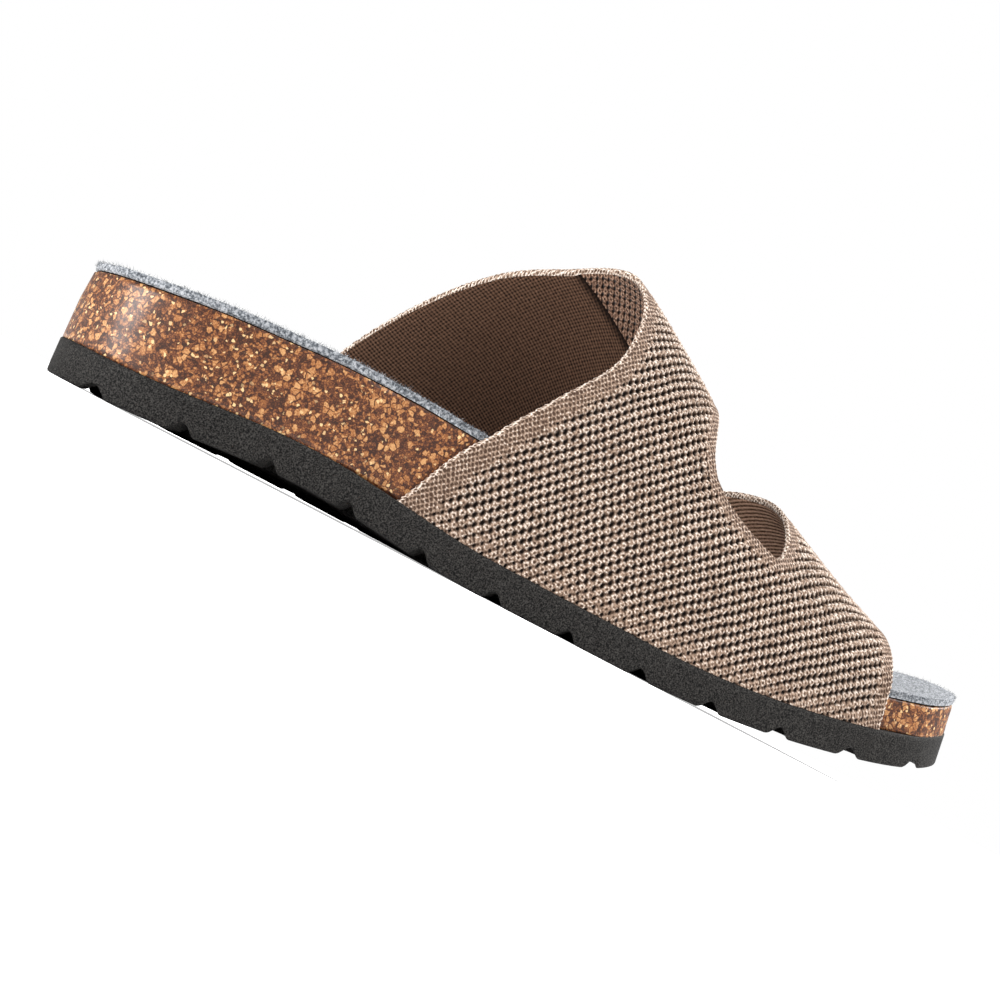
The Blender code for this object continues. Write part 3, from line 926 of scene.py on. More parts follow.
@dataclass(frozen=True)
class KnitFinish:
    """Taupe cotton yarn, knitted open: pale ring-shaped loops between dark pores, no gloss.

    Reaches are in half sizes of a pore, a loop's eye or a dot, and levels run from painted shade to a
    loop's painted highlight.
    """

    gauge: KnitGauge = KnitGauge()
    name: str = "open_cotton_knit"
    loop: str = "#E9DCD0"
    yarn: str = "#917A69"
    shade: str = "#45342A"
    pore: str = "#130B08"
    levels: tuple[float, float, float] = (0.02, 0.36, 0.72)
    pore_reach: tuple[float, float] = (1.62, 0.36)
    pore_drop: float = 0.8
    eye: float = 0.85
    ring_inside: tuple[float, float] = (0.15, 0.60)
    ring_outside: tuple[float, float] = (1.60, 0.80)
    dot: float = 0.62
    dot_reach: tuple[float, float] = (0.20, 1.10)
    dot_levels: tuple[float, float] = (-0.60, 0.70)
    level_share: float = 0.38
    level_base: float = 0.44
    strand: float = 0.60
    strand_spread: float = 0.8
    strand_drop: float = 0.65
    rim_highlight: float = 0.22
    bump: float = 0.9
    relief: float = 0.5
    roughness: float = 0.9
    specular: float = 0.10
    sheen: float = 0.06

    def distance(
        self,
        nodes: NodeTree,
        pattern: bpy.types.NodeSocket,
        shifts: Sequence[tuple[float, float, float]],
        wide: float,
        high: float,
    ) -> bpy.types.NodeSocket:
        """Distance to the nearest place of some lattices, in half sizes of a slanted oval.

        Args:
            nodes: Tree that the nodes go into.
            pattern: Place in stitches and row pairs.
            shifts: Where each lattice starts.
            wide: Half width of the oval in millimetres.
            high: Half height of the oval in millimetres.

        Returns:
            The length of the offset from the nearest place after the oval is made a unit circle.
        """
        gauge = self.gauge
        sideways = (gauge.stitch / wide, -gauge.pore_slant * gauge.row_pair / wide, 0.0)
        upward = (0.0, gauge.row_pair / high, 0.0)
        nearest = None
        for shift in shifts:
            moved = nodes.add("VectorMath", (pattern, shift), operation="SUBTRACT")[0]
            offset = nodes.add("VectorMath", (moved, (0.5,) * 3, (-0.5,) * 3), operation="WRAP")[0]
            across = nodes.add("VectorMath", (offset, sideways), operation="DOT_PRODUCT")["Value"]
            above = nodes.add("VectorMath", (offset, upward), operation="DOT_PRODUCT")["Value"]
            flat = nodes.add("CombineXYZ", (across, above))[0]
            reach = nodes.add("VectorMath", (flat,), operation="LENGTH")["Value"]
            if nearest is not None:
                reach = nodes.add("Math", (nearest, reach), operation="MINIMUM")[0]
            nearest = reach
        return nearest

    def make(self) -> bpy.types.Material:
        """Make one face of the upper's knit.

        Loops are rings round the places between the pores. Where the pores close, small dots of
        half the pitch take their place. Strands break both up.

        Returns:
            The material, on places in stitches and row pairs.
        """
        gauge = self.gauge
        soft = {"interpolation_type": "SMOOTHSTEP"}
        material, nodes = blank_material(self.name)
        pattern = nodes.add("Attribute", attribute_name=PATTERN)["Vector"]
        openness = nodes.add("SeparateXYZ", (pattern,))[2]
        pores = ((0.0, 0.0, 0.0), (0.5, 0.5, 0.0))
        eyes = ((0.5, 0.0, 0.0), (0.0, 0.5, 0.0))
        from_pore = self.distance(nodes, pattern, pores, gauge.pore_along, gauge.pore_up)
        open_size = nodes.add("Math", (openness, SMALLEST_OPENNESS), operation="MAXIMUM")[0]
        reach = nodes.add("Math", (from_pore, open_size), operation="DIVIDE")[0]
        pore = nodes.add("MapRange", (reach, *self.pore_reach), **soft)[0]
        from_eye = self.distance(nodes, pattern, eyes, self.eye, self.eye)
        rise = nodes.add("MapRange", (from_eye, *self.ring_inside), **soft)[0]
        fall = nodes.add("MapRange", (from_eye, *self.ring_outside), **soft)[0]
        ring = nodes.add("Math", (rise, fall), operation="MULTIPLY")[0]
        double = nodes.add("VectorMath", {0: pattern, "Scale": 2.0}, operation="SCALE")[0]
        from_dot = self.distance(nodes, double, pores, 2.0 * self.dot, 2.0 * self.dot)
        dots = nodes.add("MapRange", (from_dot, *self.dot_reach, *self.dot_levels), **soft)[0]
        level = nodes.add("Mix", {0: openness, 2: dots, 3: ring})[0]
        scale = (gauge.stitch, gauge.row_pair, 0.0)
        flat = nodes.add("VectorMath", (pattern, scale), operation="MULTIPLY")[0]
        cells = {"Vector": flat, "Scale": 1.0 / self.strand, "Randomness": self.strand_spread}
        strands = nodes.add("TexVoronoi", cells)["Distance"]
        shared = (level, self.level_share, self.level_base)
        level = nodes.add("Math", shared, operation="MULTIPLY_ADD")[0]
        level = nodes.add("Math", (strands, -self.strand_drop, level), operation="MULTIPLY_ADD")[0]
        # Painted highlight: the rims are drawn lighter, as where light catches the rolled edges
        rim = nodes.add("MapRange", (openness, RIM_MARK, 0.0, self.rim_highlight, 0.0))[0]
        level = nodes.add("Math", (level, rim), operation="ADD")[0]
        # Painted light of the relief: the shade stop darkens between the loops, the loop stop paints a
        # highlight on them, the yarn stop is the yarn's own tone
        stops = tuple(zip(self.levels, (self.shade, self.yarn, self.loop)))
        yarn = nodes.add("ValToRGB", (level,), stops=stops)[0]
        mixed = {0: pore, 6: yarn, 7: linear(self.pore)}
        height = nodes.add("Math", (pore, -self.pore_drop, level), operation="MULTIPLY_ADD")[0]
        bump = {"Height": height, "Strength": self.bump, "Distance": self.relief * MILLIMETRE}
        inputs = {
            "Base Color": nodes.add("Mix", mixed, data_type="RGBA")[2],
            "Roughness": self.roughness,
            "Specular IOR Level": self.specular,
            "Sheen Weight": self.sheen,
            "Normal": nodes.add("Bump", bump)[0],
        }
        nodes.add("OutputMaterial", (nodes.add("BsdfPrincipled", inputs)[0],))
        return material


@dataclass(frozen=True)
class LiningFinish:
    """Fine brown jersey: small even ribs along the foot, crossed by loops, dull and dark.

    Ribs, loops and hairs are spaced in millimetres.
    """

    name: str = "fine_jersey_lining"
    light: str = "#705443"
    dark: str = "#180E09"
    # Colour of the seam: its dark line, and painted shade that fades away from its step
    seam: str = "#100907"
    rib: float = 1.05
    loop: float = 0.95
    cross: float = 0.7
    hair: float = 0.9
    hair_detail: float = 2.0
    uneven: float = 1.6
    bump: float = 0.4
    relief: float = 0.15
    roughness: float = 0.95
    specular: float = 0.10

    def make(self) -> bpy.types.Material:
        """Make an inside of the upper: a sine across the ribs, one along them and a noise add up.

        Returns:
            The material, on places in millimetres, with the seam's dark line and painted shade beside it
            where they say so.
        """
        material, nodes = blank_material(self.name)
        pattern = nodes.add("Attribute", attribute_name=PATTERN)["Vector"]
        split = nodes.add("SeparateXYZ", (pattern,))
        turn = 2.0 * math.pi
        row = nodes.add("Math", (split[1], turn / self.rib), operation="MULTIPLY")[0]
        half_row = nodes.add("Math", (row, 0.5), operation="MULTIPLY")[0]
        along = nodes.add("Math", (split[0], turn / self.loop, half_row), operation="MULTIPLY_ADD")[0]
        ribs = nodes.add("Math", (row,), operation="SINE")[0]
        loops = nodes.add("Math", (along,), operation="SINE")[0]
        height = nodes.add("Math", (loops, self.cross, ribs), operation="MULTIPLY_ADD")[0]
        hairs = {"Vector": pattern, "Scale": 1.0 / self.hair, "Detail": self.hair_detail}
        fuzz = nodes.add("TexNoise", hairs)[0]
        fuzz = nodes.add("Math", (fuzz, 2.0 * self.uneven, -self.uneven), operation="MULTIPLY_ADD")[0]
        height = nodes.add("Math", (height, fuzz), operation="ADD")[0]
        share = nodes.add("MapRange", (height, -1.0 - self.cross, 1.0 + self.cross))[0]
        cloth = nodes.add("ValToRGB", (share,), stops=((0.0, self.dark), (1.0, self.light)))[0]
        # Painted shade by the seam: the seam's colour mixes in by the third place
        mixed = {0: split[2], 6: cloth, 7: linear(self.seam)}
        bump = {"Height": height, "Strength": self.bump, "Distance": self.relief * MILLIMETRE}
        inputs = {
            "Base Color": nodes.add("Mix", mixed, data_type="RGBA")[2],
            "Roughness": self.roughness,
            "Specular IOR Level": self.specular,
            "Normal": nodes.add("Bump", bump)[0],
        }
        nodes.add("OutputMaterial", (nodes.add("BsdfPrincipled", inputs)[0],))
        return material


def dress(piece: bpy.types.Object, node: str) -> None:
    """Let a piece stand for a node of the frame, which it hides, and ride on the body.

    Args:
        piece: The finished piece.
        node: Name of the node that it stands for.
    """
    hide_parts(node)
    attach(piece, BODY)
    LOG.info("%s: %d faces", piece.name, len(piece.data.polygons))


@dataclass
class FoamOutsole:
    """Outsole with wavy lugs, fine ribs on their faces and softened edges."""

    form: SoleForm
    step: float = 0.30
    columns: int = 36
    groove_first: float = 11.0
    groove_pitch: float = 21.5
    groove_count: int = 12
    groove_width: float = 7.5
    groove_depth: float = 2.6
    wave_height: float = 3.5
    wave_count: int = 3
    wave_fade: float = 22.0
    rib_pitch: float = 1.2
    rib_depth: float = 0.14
    rib_rise: float = 4.0
    edge_round: float = 0.7
    round_steps: int = 3
    top_round: float = 0.35
    side_steps: int = 5

    def grooves(self, station: np.ndarray) -> np.ndarray:
        """Depth of the grooves between the lugs.

        Args:
            station: Stations along the sole.

        Returns:
            Depths, a squared cosine trough at each pitch.
        """
        number = np.round((station - self.groove_first) / self.groove_pitch)
        nearest = np.clip(number, 0, self.groove_count - 1)
        offset = station - self.groove_first - self.groove_pitch * nearest
        part = np.clip(offset / self.groove_width, -0.5, 0.5)
        return self.groove_depth * np.cos(np.pi * part) ** 2

    def ribs(self, station: np.ndarray) -> np.ndarray:
        """Depth of the fine ribs across the sole, a raised cosine of the station."""
        return self.rib_depth * (0.5 - 0.5 * np.cos(2.0 * np.pi * station / self.rib_pitch))

    def ring(self, rows: np.ndarray, inset: float) -> np.ndarray:
        """Plan points of both sides, moved in by the same amount all round."""
        even = np.full_like(rows, inset)
        return self.form.inset_edges(rows, even, even)

    def wavy_plan(self, rows: np.ndarray, edges: np.ndarray) -> np.ndarray:
        """Plan points of the underside, with stations that wave across the sole.

        Args:
            rows: Stations from heel to toe.
            edges: Plan points of both sides.

        Returns:
            Station by column by x and y: a sine of the share across, which fades at heel and toe.
        """
        form = self.form
        share = np.linspace(0.0, 1.0, self.columns + 1)[None, :]
        fade = ease(rows, 0.0, self.wave_fade) * ease(form.length - rows, 0.0, self.wave_fade)
        wave = self.wave_height * fade[:, None] * np.sin(2.0 * np.pi * self.wave_count * share)
        straight = edges[:, :1] + (edges[:, 1:] - edges[:, :1]) * share[..., None]
        x = np.clip(straight[..., 0] + wave, edges[:, 0, 0].min(), edges[:, 0, 0].max())
        inner = np.interp(x, edges[:, 0, 0], edges[:, 0, 1])
        outer = np.interp(x, edges[:, 1, 0], edges[:, 1, 1])
        return np.stack((x, inner + (outer - inner) * share), axis=2)

    def build(self, material: bpy.types.Material) -> bpy.types.Object:
        """Mesh of the outsole.

        Args:
            material: Its foam.

        Returns:
            The piece.
        """
        form = self.form
        rows = form.stations(self.step)
        depth = self.grooves(rows)[:, None]
        inset = self.ring(rows, self.edge_round)
        plan = self.wavy_plan(rows, inset)
        plan[:, 0] = inset[:, 0]
        plan[:, -1] = inset[:, 1]
        inside = np.sin(np.linspace(0.0, np.pi, self.columns + 1))[None, :]
        relief = depth + self.ribs(rows)[:, None] * np.minimum(self.rib_rise * inside, 1.0)
        lower = with_height(plan, form.underside(plan[..., 0], plan[..., 1]) + relief)
        edge = self.ring(rows, 0.0)
        low = form.underside(edge[..., 0], edge[..., 1]) + depth
        high = form.outsole_top(edge[..., 0], edge[..., 1])
        levels = [lower[:, [0, -1]]]
        for turn in np.linspace(0.0, 0.5 * np.pi, self.round_steps + 1)[1:]:
            ring = self.ring(rows, self.edge_round * (1.0 - math.sin(turn)))
            levels.append(with_height(ring, low + self.edge_round * (1.0 - math.cos(turn))))
        start = low + self.edge_round
        end = high - self.top_round
        for share in np.linspace(0.0, 1.0, self.side_steps + 1)[1:]:
            levels.append(with_height(edge, start + (end - start) * share))
        levels.append(with_height(self.ring(rows, self.top_round), high))
        grids = [lower, levels[-1], *side_strips(levels)]
        piece = make_piece("foam_outsole", [Patch(form.rake(grid)) for grid in grids], [material])
        dress(piece, "outsole")
        return piece


@dataclass
class Footbed:
    """Side insets that cork and insole share: flush where they show, set in behind the upper."""

    form: SoleForm
    showing: float = 0.3
    covered: float = 2.5
    lining: float = 0.6
    margin: float = 2.0
    ease_back: float = 20.0
    ease_toe: float = 14.0

    def inset(self, rows: np.ndarray, extra: float, side: Side) -> np.ndarray:
        """Inset of one side at each station.

        Args:
            rows: Stations from heel to toe.
            extra: Inset beyond the showing one.
            side: The side of the foot.

        Returns:
            The inset in millimetres.
        """
        row = EDGES[0] if side is Side.INNER else EDGES[-1]
        start = self.form.length * row.collar - self.margin
        end = self.form.length * row.toe + self.margin
        cover = ease(rows, start - self.ease_back, start) * (1.0 - ease(rows, end, end + self.ease_toe))
        shown = self.showing + extra
        behind = self.covered + (self.lining if side is Side.OUTER else 0.0)
        return shown + (behind - shown) * cover

    def edges(self, rows: np.ndarray, extra: float) -> np.ndarray:
        """Plan points of both sides.

        Args:
            rows: Stations from heel to toe.
            extra: Inset beyond the showing one.

        Returns:
            Station by side by x and y.
        """
        inner = self.inset(rows, extra, Side.INNER)
        outer = self.inset(rows, extra, Side.OUTER)
        return self.form.inset_edges(rows, inner, outer)

    def top(self, rows: np.ndarray, plan: np.ndarray) -> np.ndarray:
        """Height of the bed, a dish between the inset sides.

        Args:
            rows: Stations from heel to toe.
            plan: Plan points, station by column by x and y.

        Returns:
            Heights, station by column.
        """
        inner = self.inset(rows, 0.0, Side.INNER)[:, None]
        outer = self.inset(rows, 0.0, Side.OUTER)[:, None]
        return self.form.bed_top(plan[..., 0], plan[..., 1], inner, outer)


@dataclass
class CorkFootbed(Footbed):
    """Cork body between outsole and insole, with a crumbly side."""

    step: float = 0.9
    columns: int = 16
    side_steps: int = 16
    seat: float = 0.06
    felt_thickness: float = 2.0
    felt_gap: float = 0.35
    lean: float = 0.2
    lip: float = 0.5
    lip_height: float = 0.6
    crumb_relief: float = 0.10
    crumb_size: float = 1.4
    crumb_seed: int = 3
    edge_hold: float = 2.0
    end_hold: float = 1.5

    def build(self, material: bpy.types.Material) -> bpy.types.Object:
        """Mesh of the cork.

        Args:
            material: Its cork.

        Returns:
            The piece.
        """
        form = self.form
        rows = form.stations(self.step)
        drop = self.felt_thickness + self.felt_gap
        base = self.edges(rows, 0.0)
        low = form.outsole_top(base[..., 0], base[..., 1]) + self.seat
        shoulder = self.edges(rows, self.lean)
        high = self.top(rows, shoulder) - drop - self.lip_height
        levels = []
        for share in np.linspace(0.0, 1.0, self.side_steps + 1):
            ring = base + (shoulder - base) * share
            levels.append(with_height(ring, low + (high - low) * share))
        lip = self.edges(rows, self.lean + self.lip)
        levels.append(with_height(lip, self.top(rows, lip) - drop))
        strips = [self.crumble(strip) for strip in side_strips(levels)]
        plan = span(lip, self.columns)
        upper = with_height(plan, self.top(rows, plan) - drop)
        floor = span(base, self.columns)
        lower = with_height(floor, form.outsole_top(floor[..., 0], floor[..., 1]) + self.seat)
        patches = [Patch(form.rake(grid)) for grid in (lower, upper, *strips)]
        piece = make_piece("cork_body", patches, [material])
        dress(piece, "cork_footbed")
        return piece

    def crumble(self, strip: np.ndarray) -> np.ndarray:
        """Move a side strip in and out by noise of the crumbs' size, and leave its edges in place.

        Args:
            strip: Station by step up the side by point.

        Returns:
            The strip, moved along its normals.
        """
        steps = np.arange(strip.shape[1])
        from_edge = np.minimum(steps, steps[::-1])[None, :]
        from_end = np.minimum(strip[..., 0] - strip[:1, :, 0], strip[-1:, :, 0] - strip[..., 0])
        hold = np.clip(from_edge / self.edge_hold, 0.0, 1.0) * ease(from_end, 0.0, self.end_hold)
        push = self.crumb_relief * lattice_noise(strip / self.crumb_size, self.crumb_seed) * hold
        return strip + grid_normals(strip) * push[..., None]


@dataclass
class FeltInsole(Footbed):
    """Felt layer that lies in the dished cork, with a soft bulging edge and an uneven nap."""

    step: float = 0.9
    columns: int = 84
    under_columns: int = 42
    thickness: float = 2.0
    groove: float = 2.4
    groove_floor: float = 1.9
    glue_edge: float = 0.6
    lean: float = 0.2
    bulge: float = 0.1
    seat: float = 0.40
    nap: float = 0.096
    nap_sizes: tuple[float, float] = (3.0, 1.3)
    nap_seeds: tuple[int, int] = (11, 12)
    edge_round: float = 0.9
    side_shares: tuple[float, ...] = (0.0, 0.18, 0.36, 0.54)
    round_start: float = 0.25
    round_steps: int = 4

    def build(self, material: bpy.types.Material, gap_shade: bpy.types.Material) -> bpy.types.Object:
        """Mesh of the insole.

        Args:
            material: Its felt.
            gap_shade: Underside of the felt, painted dark as the shade in the gap under its edge.

        Returns:
            The piece.
        """
        form = self.form
        rows = form.stations(self.step)
        under = self.edges(rows, self.lean + self.groove)
        roof = self.edges(rows, self.lean + self.groove_floor)
        glued = self.edges(rows, self.lean + self.glue_edge)
        roof_levels = [
            with_height(under, self.top(rows, under) - self.thickness - self.seat),
            with_height(roof, self.top(rows, roof) - self.thickness),
            with_height(glued, self.top(rows, glued) - self.thickness),
        ]
        side_levels = [roof_levels[-1]]
        side = self.edges(rows, self.lean - self.bulge)
        for share in self.side_shares:
            height = self.top(rows, side) - self.thickness * (1.0 - share)
            side_levels.append(with_height(side, height))
        for turn in np.linspace(self.round_start, 1.0, self.round_steps) * 0.5 * math.pi:
            ring = self.edges(rows, self.lean - self.bulge + self.edge_round * (1.0 - math.cos(turn)))
            height = self.top(rows, ring) - self.edge_round * (1.0 - math.sin(turn))
            side_levels.append(with_height(ring, height))
        plan = span(ring, self.columns)
        upper = with_height(plan, self.top(rows, plan))
        base = span(under, self.under_columns)
        lower = with_height(base, self.top(rows, base) - self.thickness - self.seat)
        # The felt's underside and the roof of the gap under its edge are painted dark as shade
        hidden = (lower, *side_strips(roof_levels))
        patches = [Patch(form.rake(grid), InsoleFace.GAP_SHADE) for grid in hidden]
        for grid in (upper, *side_strips(side_levels)):
            patches.append(Patch(form.rake(self.ruffle(rows, grid)), InsoleFace.FELT))
        piece = make_piece("felt_insole", patches, [material, gap_shade])
        dress(piece, "insole")
        return piece

    def ruffle(self, rows: np.ndarray, grid: np.ndarray) -> np.ndarray:
        """Raise points by noise of two sizes.

        Args:
            rows: Stations from heel to toe.
            grid: Station by column by point.

        Returns:
            The points, raised most at the top and not at all at the seat.
        """
        depth = self.top(rows, grid) - grid[..., 2]
        hold = np.clip(1.0 - depth / self.thickness, 0.0, 1.0)
        noise = sum(lattice_noise(grid / size, seed) for size, seed in zip(self.nap_sizes, self.nap_seeds))
        lifted = grid.copy()
        lifted[..., 2] += self.nap * noise * hold
        return lifted


@dataclass
class FeltFibres(Footbed):
    """Loose fibres that stand off the insole's edge and face, each a thin bent spike."""

    step: float = 0.5
    count_edge: int = 12000
    count_face: int = 7000
    length: tuple[float, float] = (0.4, 1.2)
    radius: float = 0.035
    taper: float = 0.8
    bend: float = 0.2
    inset_root: float = 0.35
    root_depth: float = 0.1
    depth: float = 1.2
    face_margin: float = 0.02
    edge_aim: float = 0.6
    upward_aim: float = 0.5
    side_aim: float = 0.05
    spread: float = 0.55
    end_share: float = 0.44
    seed: int = 5

    def roots(self, random: np.random.Generator) -> tuple[np.ndarray, np.ndarray]:
        """Places where fibres leave the felt, and the directions that they take.

        Args:
            random: Source of the random numbers.

        Returns:
            Roots in millimetres and unit directions: outward at the edge, upward, and scattered.
        """
        form = self.form
        rows = form.stations(self.step)
        edges = self.edges(rows, self.inset_root)
        rim = random.integers(0, len(rows), self.count_edge)
        face = np.searchsorted(rows, random.uniform(rows[1], rows[-2], self.count_face))
        pick = np.concatenate((rim, face))
        rim_share = random.integers(0, 2, self.count_edge)
        face_share = random.uniform(self.face_margin, 1.0 - self.face_margin, self.count_face)
        share = np.concatenate((rim_share, face_share))[:, None]
        plan = edges[pick, 0] + (edges[pick, 1] - edges[pick, 0]) * share
        on_edge = np.arange(len(pick)) < self.count_edge
        below = random.uniform(0.0, self.depth, len(pick))
        drop = np.where(on_edge, below, 0.0) + self.root_depth
        height = self.top(rows[pick], plan[:, None])[:, 0] - drop
        outward = plan - np.array((0.5 * form.length, 0.0))
        at_end = np.abs(outward[:, 0]) > self.end_share * form.length
        outward[:, 0] *= np.where(at_end, 1.0, self.side_aim)
        outward /= np.linalg.norm(outward, axis=1, keepdims=True)
        outward *= np.where(on_edge, self.edge_aim, 0.0)[:, None]
        aim = np.column_stack((outward, np.full(len(pick), self.upward_aim)))
        aim += random.normal(0.0, self.spread, aim.shape)
        return np.column_stack((plan, height)), aim / np.linalg.norm(aim, axis=1, keepdims=True)

    def build(self, material: bpy.types.Material) -> bpy.types.Object:
        """Mesh of the fibres: a three-cornered root, a bent three-cornered middle and a point.

        Each fibre's line is a parabola, its aim times a share plus its bend times the share squared.

        Args:
            material: The felt that they belong to.

        Returns:
            The piece.
        """
        random = np.random.default_rng(self.seed)
        root, aim = self.roots(random)
        total = len(root)
        size = random.uniform(*self.length, total)[:, None]
        bend = random.normal(0.0, self.bend, (total, 3))
        first = np.cross(aim, random.normal(0.0, 1.0, (total, 3)))
        first *= self.radius / np.linalg.norm(first, axis=1, keepdims=True)
        second = np.cross(aim, first)
        turn = np.linspace(0.0, 2.0 * np.pi, 4)[:3][None, :, None]
        corners = first[:, None] * np.cos(turn) + second[:, None] * np.sin(turn)
        middle = root + size * (0.5 * aim + 0.25 * bend)
        tip = root + size * (aim + bend)
        rings = (root[:, None] + corners, middle[:, None] + self.taper * corners, tip[:, None])
        points = np.concatenate(rings, axis=1)
        start = points.shape[1] * np.arange(total)[:, None, None]
        quads = start + np.array(((0, 1, 4, 3), (1, 2, 5, 4), (2, 0, 3, 5)))
        triangles = start + np.array(((0, 2, 1), (3, 4, 6), (4, 5, 6), (5, 3, 6)))
        mesh = bpy.data.meshes.new("felt_fibres")
        faces = quads.reshape(-1, 4).tolist() + triangles.reshape(-1, 3).tolist()
        mesh.from_pydata(in_frame(self.form.rake(points)), [], faces)
        piece = link_mesh("felt_fibres", mesh, [material])
        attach(piece, BODY)
        LOG.info("%s: %d faces", piece.name, len(mesh.polygons))
        return piece


class Strap(NamedTuple):
    """One strap of the upper: x of its outer edge and of its edge at the cut-out at each row, and its
    steps across, outside and inside."""

    edge: np.ndarray
    cut: np.ndarray
    columns: int
    inner_columns: int


@dataclass
class KnitUpper:
    """Knitted upper: one wall with an open face of pores outside and a fine lining inside.

    Girths run from -1 to 1, other sizes are in millimetres. A fade gives the distances from an edge,
    or from the collar's band, where pores begin and where they are full.
    """

    form: SoleForm
    gauge: KnitGauge
    instep_height: float = 98.0
    crown_shift: float = -3.0
    rim_girth: float = 0.72
    wall_inset: float = 0.4
    thickness: float = 1.8
    lining: float = 0.6
    seam_girth: float = 0.168
    seam_width: float = 0.02
    seam_shadow: float = 0.03
    seat: float = 0.06
    row_step: float = 0.0056
    edge_step: float = 1.5
    crowd_power: float = 1.6
    back_columns: int = 112
    front_columns: int = 78
    inner_back_columns: int = 26
    inner_front_columns: int = 18
    rim_steps: int = 6
    rim_bulge: float = 0.75
    rim_gap: float = 3.0
    rim_reach: int = 4
    bead_share: float = 0.28
    bead_pitch: float = 1.5
    band_crown: float = 2.6
    band_side: float = 3.4
    band_turn: tuple[float, float] = (0.25, 0.9)
    band_fade: tuple[float, float] = (-1.0, 2.5)
    toe_fade: tuple[float, float] = (1.2, 4.8)
    cut_fade: tuple[float, float] = (1.2, 5.0)
    sole_fade: tuple[float, float] = (1.0, 9.0)
    sole_openness: float = 0.6
    back_openness: float = 0.75
    outline_points: int = 181
    measure_columns: int = 60
    measure_rows: int = 201
    step_along: float = 0.4
    step_around: float = 0.002
    step_in: float = 0.5

    def edge(self, name: str, girth: np.ndarray) -> np.ndarray:
        """X of one edge of the upper at each girth."""
        return self.form.length * smooth(column(EDGES, "girth"), column(EDGES, name), girth)

    def surface(self, x: np.ndarray, girth: np.ndarray, thickness: np.ndarray) -> np.ndarray:
        """Points of the wall, moved in from its outside.

        Beside the footbed the section is upright. Above the rim it is two quarter ellipses that
        meet at the crown, by the cosine and sine of the turn.

        Args:
            x: Stations.
            girth: Places round the foot, from -1 at the inner foot to 1 at the outer one.
            thickness: How far the points lie inside of the outer face.

        Returns:
            The points in millimetres.
        """
        form = self.form
        side = np.where(girth < 0.0, Side.INNER.value, Side.OUTER.value)
        inner, outer = form.sides(x)
        edge = np.where(side < 0.0, inner, outer)
        wall = edge - side * (self.wall_inset + thickness)
        foot = form.outsole_top(x, edge) + self.seat
        rim = form.bed_top(x, edge, form.rim_inset, form.rim_inset)
        share = smooth(column(CROWN, "at"), column(CROWN, "height"), x / form.length)
        crown = self.instep_height * share - thickness
        turn = 0.5 * np.pi * (1.0 - np.clip(np.abs(girth) / self.rim_girth, 0.0, 1.0))
        fall = np.clip((np.abs(girth) - self.rim_girth) / (1.0 - self.rim_girth), 0.0, 1.0)
        y = self.crown_shift + (wall - self.crown_shift) * np.cos(turn)
        z = rim + (crown - rim) * np.sin(turn) + (foot - rim) * fall
        return form.rake(np.stack((x, y, z), axis=-1))

    def normals(self, x: np.ndarray, girth: np.ndarray) -> np.ndarray:
        """Outward unit normals of the outside.

        Args:
            x: Stations.
            girth: Places round the foot.

        Returns:
            The cross product of small steps along x and girth, turned away from the inside.
        """
        none = np.zeros_like(x)
        before = self.surface(x - self.step_along, girth, none)
        below = self.surface(x, girth - self.step_around, none)
        along = self.surface(x + self.step_along, girth, none) - before
        around = self.surface(x, girth + self.step_around, none) - below
        cross = np.cross(along, around)
        cross /= np.maximum(np.linalg.norm(cross, axis=-1, keepdims=True), SMALLEST_LENGTH)
        outward = self.surface(x, girth, none) - self.surface(x, girth, none + self.step_in)
        return cross * np.sign(np.sum(cross * outward, axis=-1, keepdims=True))

    def girth_rows(self) -> tuple[np.ndarray, slice]:
        """Girths of the rows.

        Returns:
            The girths, close enough for an even step of girth and for the cut-out's edges, and which
            rows the cut-out opens.
        """
        knots = column(CUT, "girth")
        back = self.form.length * column(CUT, "back")
        front = self.form.length * column(CUT, "front")
        run = np.maximum(np.abs(np.diff(back)), np.abs(np.diff(front)))
        counts = np.ceil(np.maximum(np.diff(knots) / self.row_step, run / self.edge_step)).astype(int)
        spans = zip(knots[:-1], knots[1:], counts)
        parts = [np.linspace(start, end, count + 1)[:-1] for start, end, count in spans]
        opened = np.concatenate((*parts, knots[-1:]))
        count = int(math.ceil((1.0 + knots[0]) / self.row_step))
        before = np.linspace(-1.0, knots[0], count + 1)[:-1]
        after = np.linspace(knots[-1], 1.0, count + 1)[1:]
        return np.concatenate((before, opened, after)), slice(len(before), len(before) + len(opened))

    def cut_edge(self, name: str, girth: np.ndarray) -> np.ndarray:
        """X of one edge of the cut-out.

        Args:
            name: Column of the table.
            girth: Places round the foot.

        Returns:
            Stations, smooth along the table's rows, with straight steps of girth between rows.
        """
        count = np.arange(len(CUT), dtype=float)
        place = np.interp(girth, column(CUT, "girth"), count)
        return self.form.length * smooth(count, column(CUT, name), place)

    def length_up(self, x: np.ndarray, girth: np.ndarray) -> np.ndarray:
        """Length along the wall from its inner foot.

        Args:
            x: Stations.
            girth: Places round the foot.

        Returns:
            Lengths in millimetres: summed over even steps of girth on a grid, then read between its
            rows and columns by shares.
        """
        steps = np.linspace(-1.0, 1.0, self.measure_rows)
        ends = self.form.length * CROWN[0].at, self.form.length * CROWN[-1].at
        at = np.linspace(*ends, self.measure_columns)
        across, around = np.meshgrid(at, steps, indexing="ij")
        line = self.surface(across, around, np.zeros_like(across))
        run = np.cumsum(np.linalg.norm(np.diff(line, axis=1), axis=2), axis=1)
        run = np.concatenate((np.zeros((len(at), 1)), run), axis=1)
        across_place = np.clip((x - at[0]) / (at[1] - at[0]), 0.0, len(at) - 1.0 - TABLE_MARGIN)
        around_place = np.clip((girth + 1.0) / (steps[1] - steps[0]), 0.0, len(steps) - 1.0 - TABLE_MARGIN)
        line_before = across_place.astype(int)
        row_below = around_place.astype(int)
        along_part = across_place - line_before
        part = around_place - row_below
        near, far = (
            run[line, row_below] * (1.0 - part) + run[line, row_below + 1] * part
            for line in (line_before, line_before + 1)
        )
        return near * (1.0 - along_part) + far * along_part

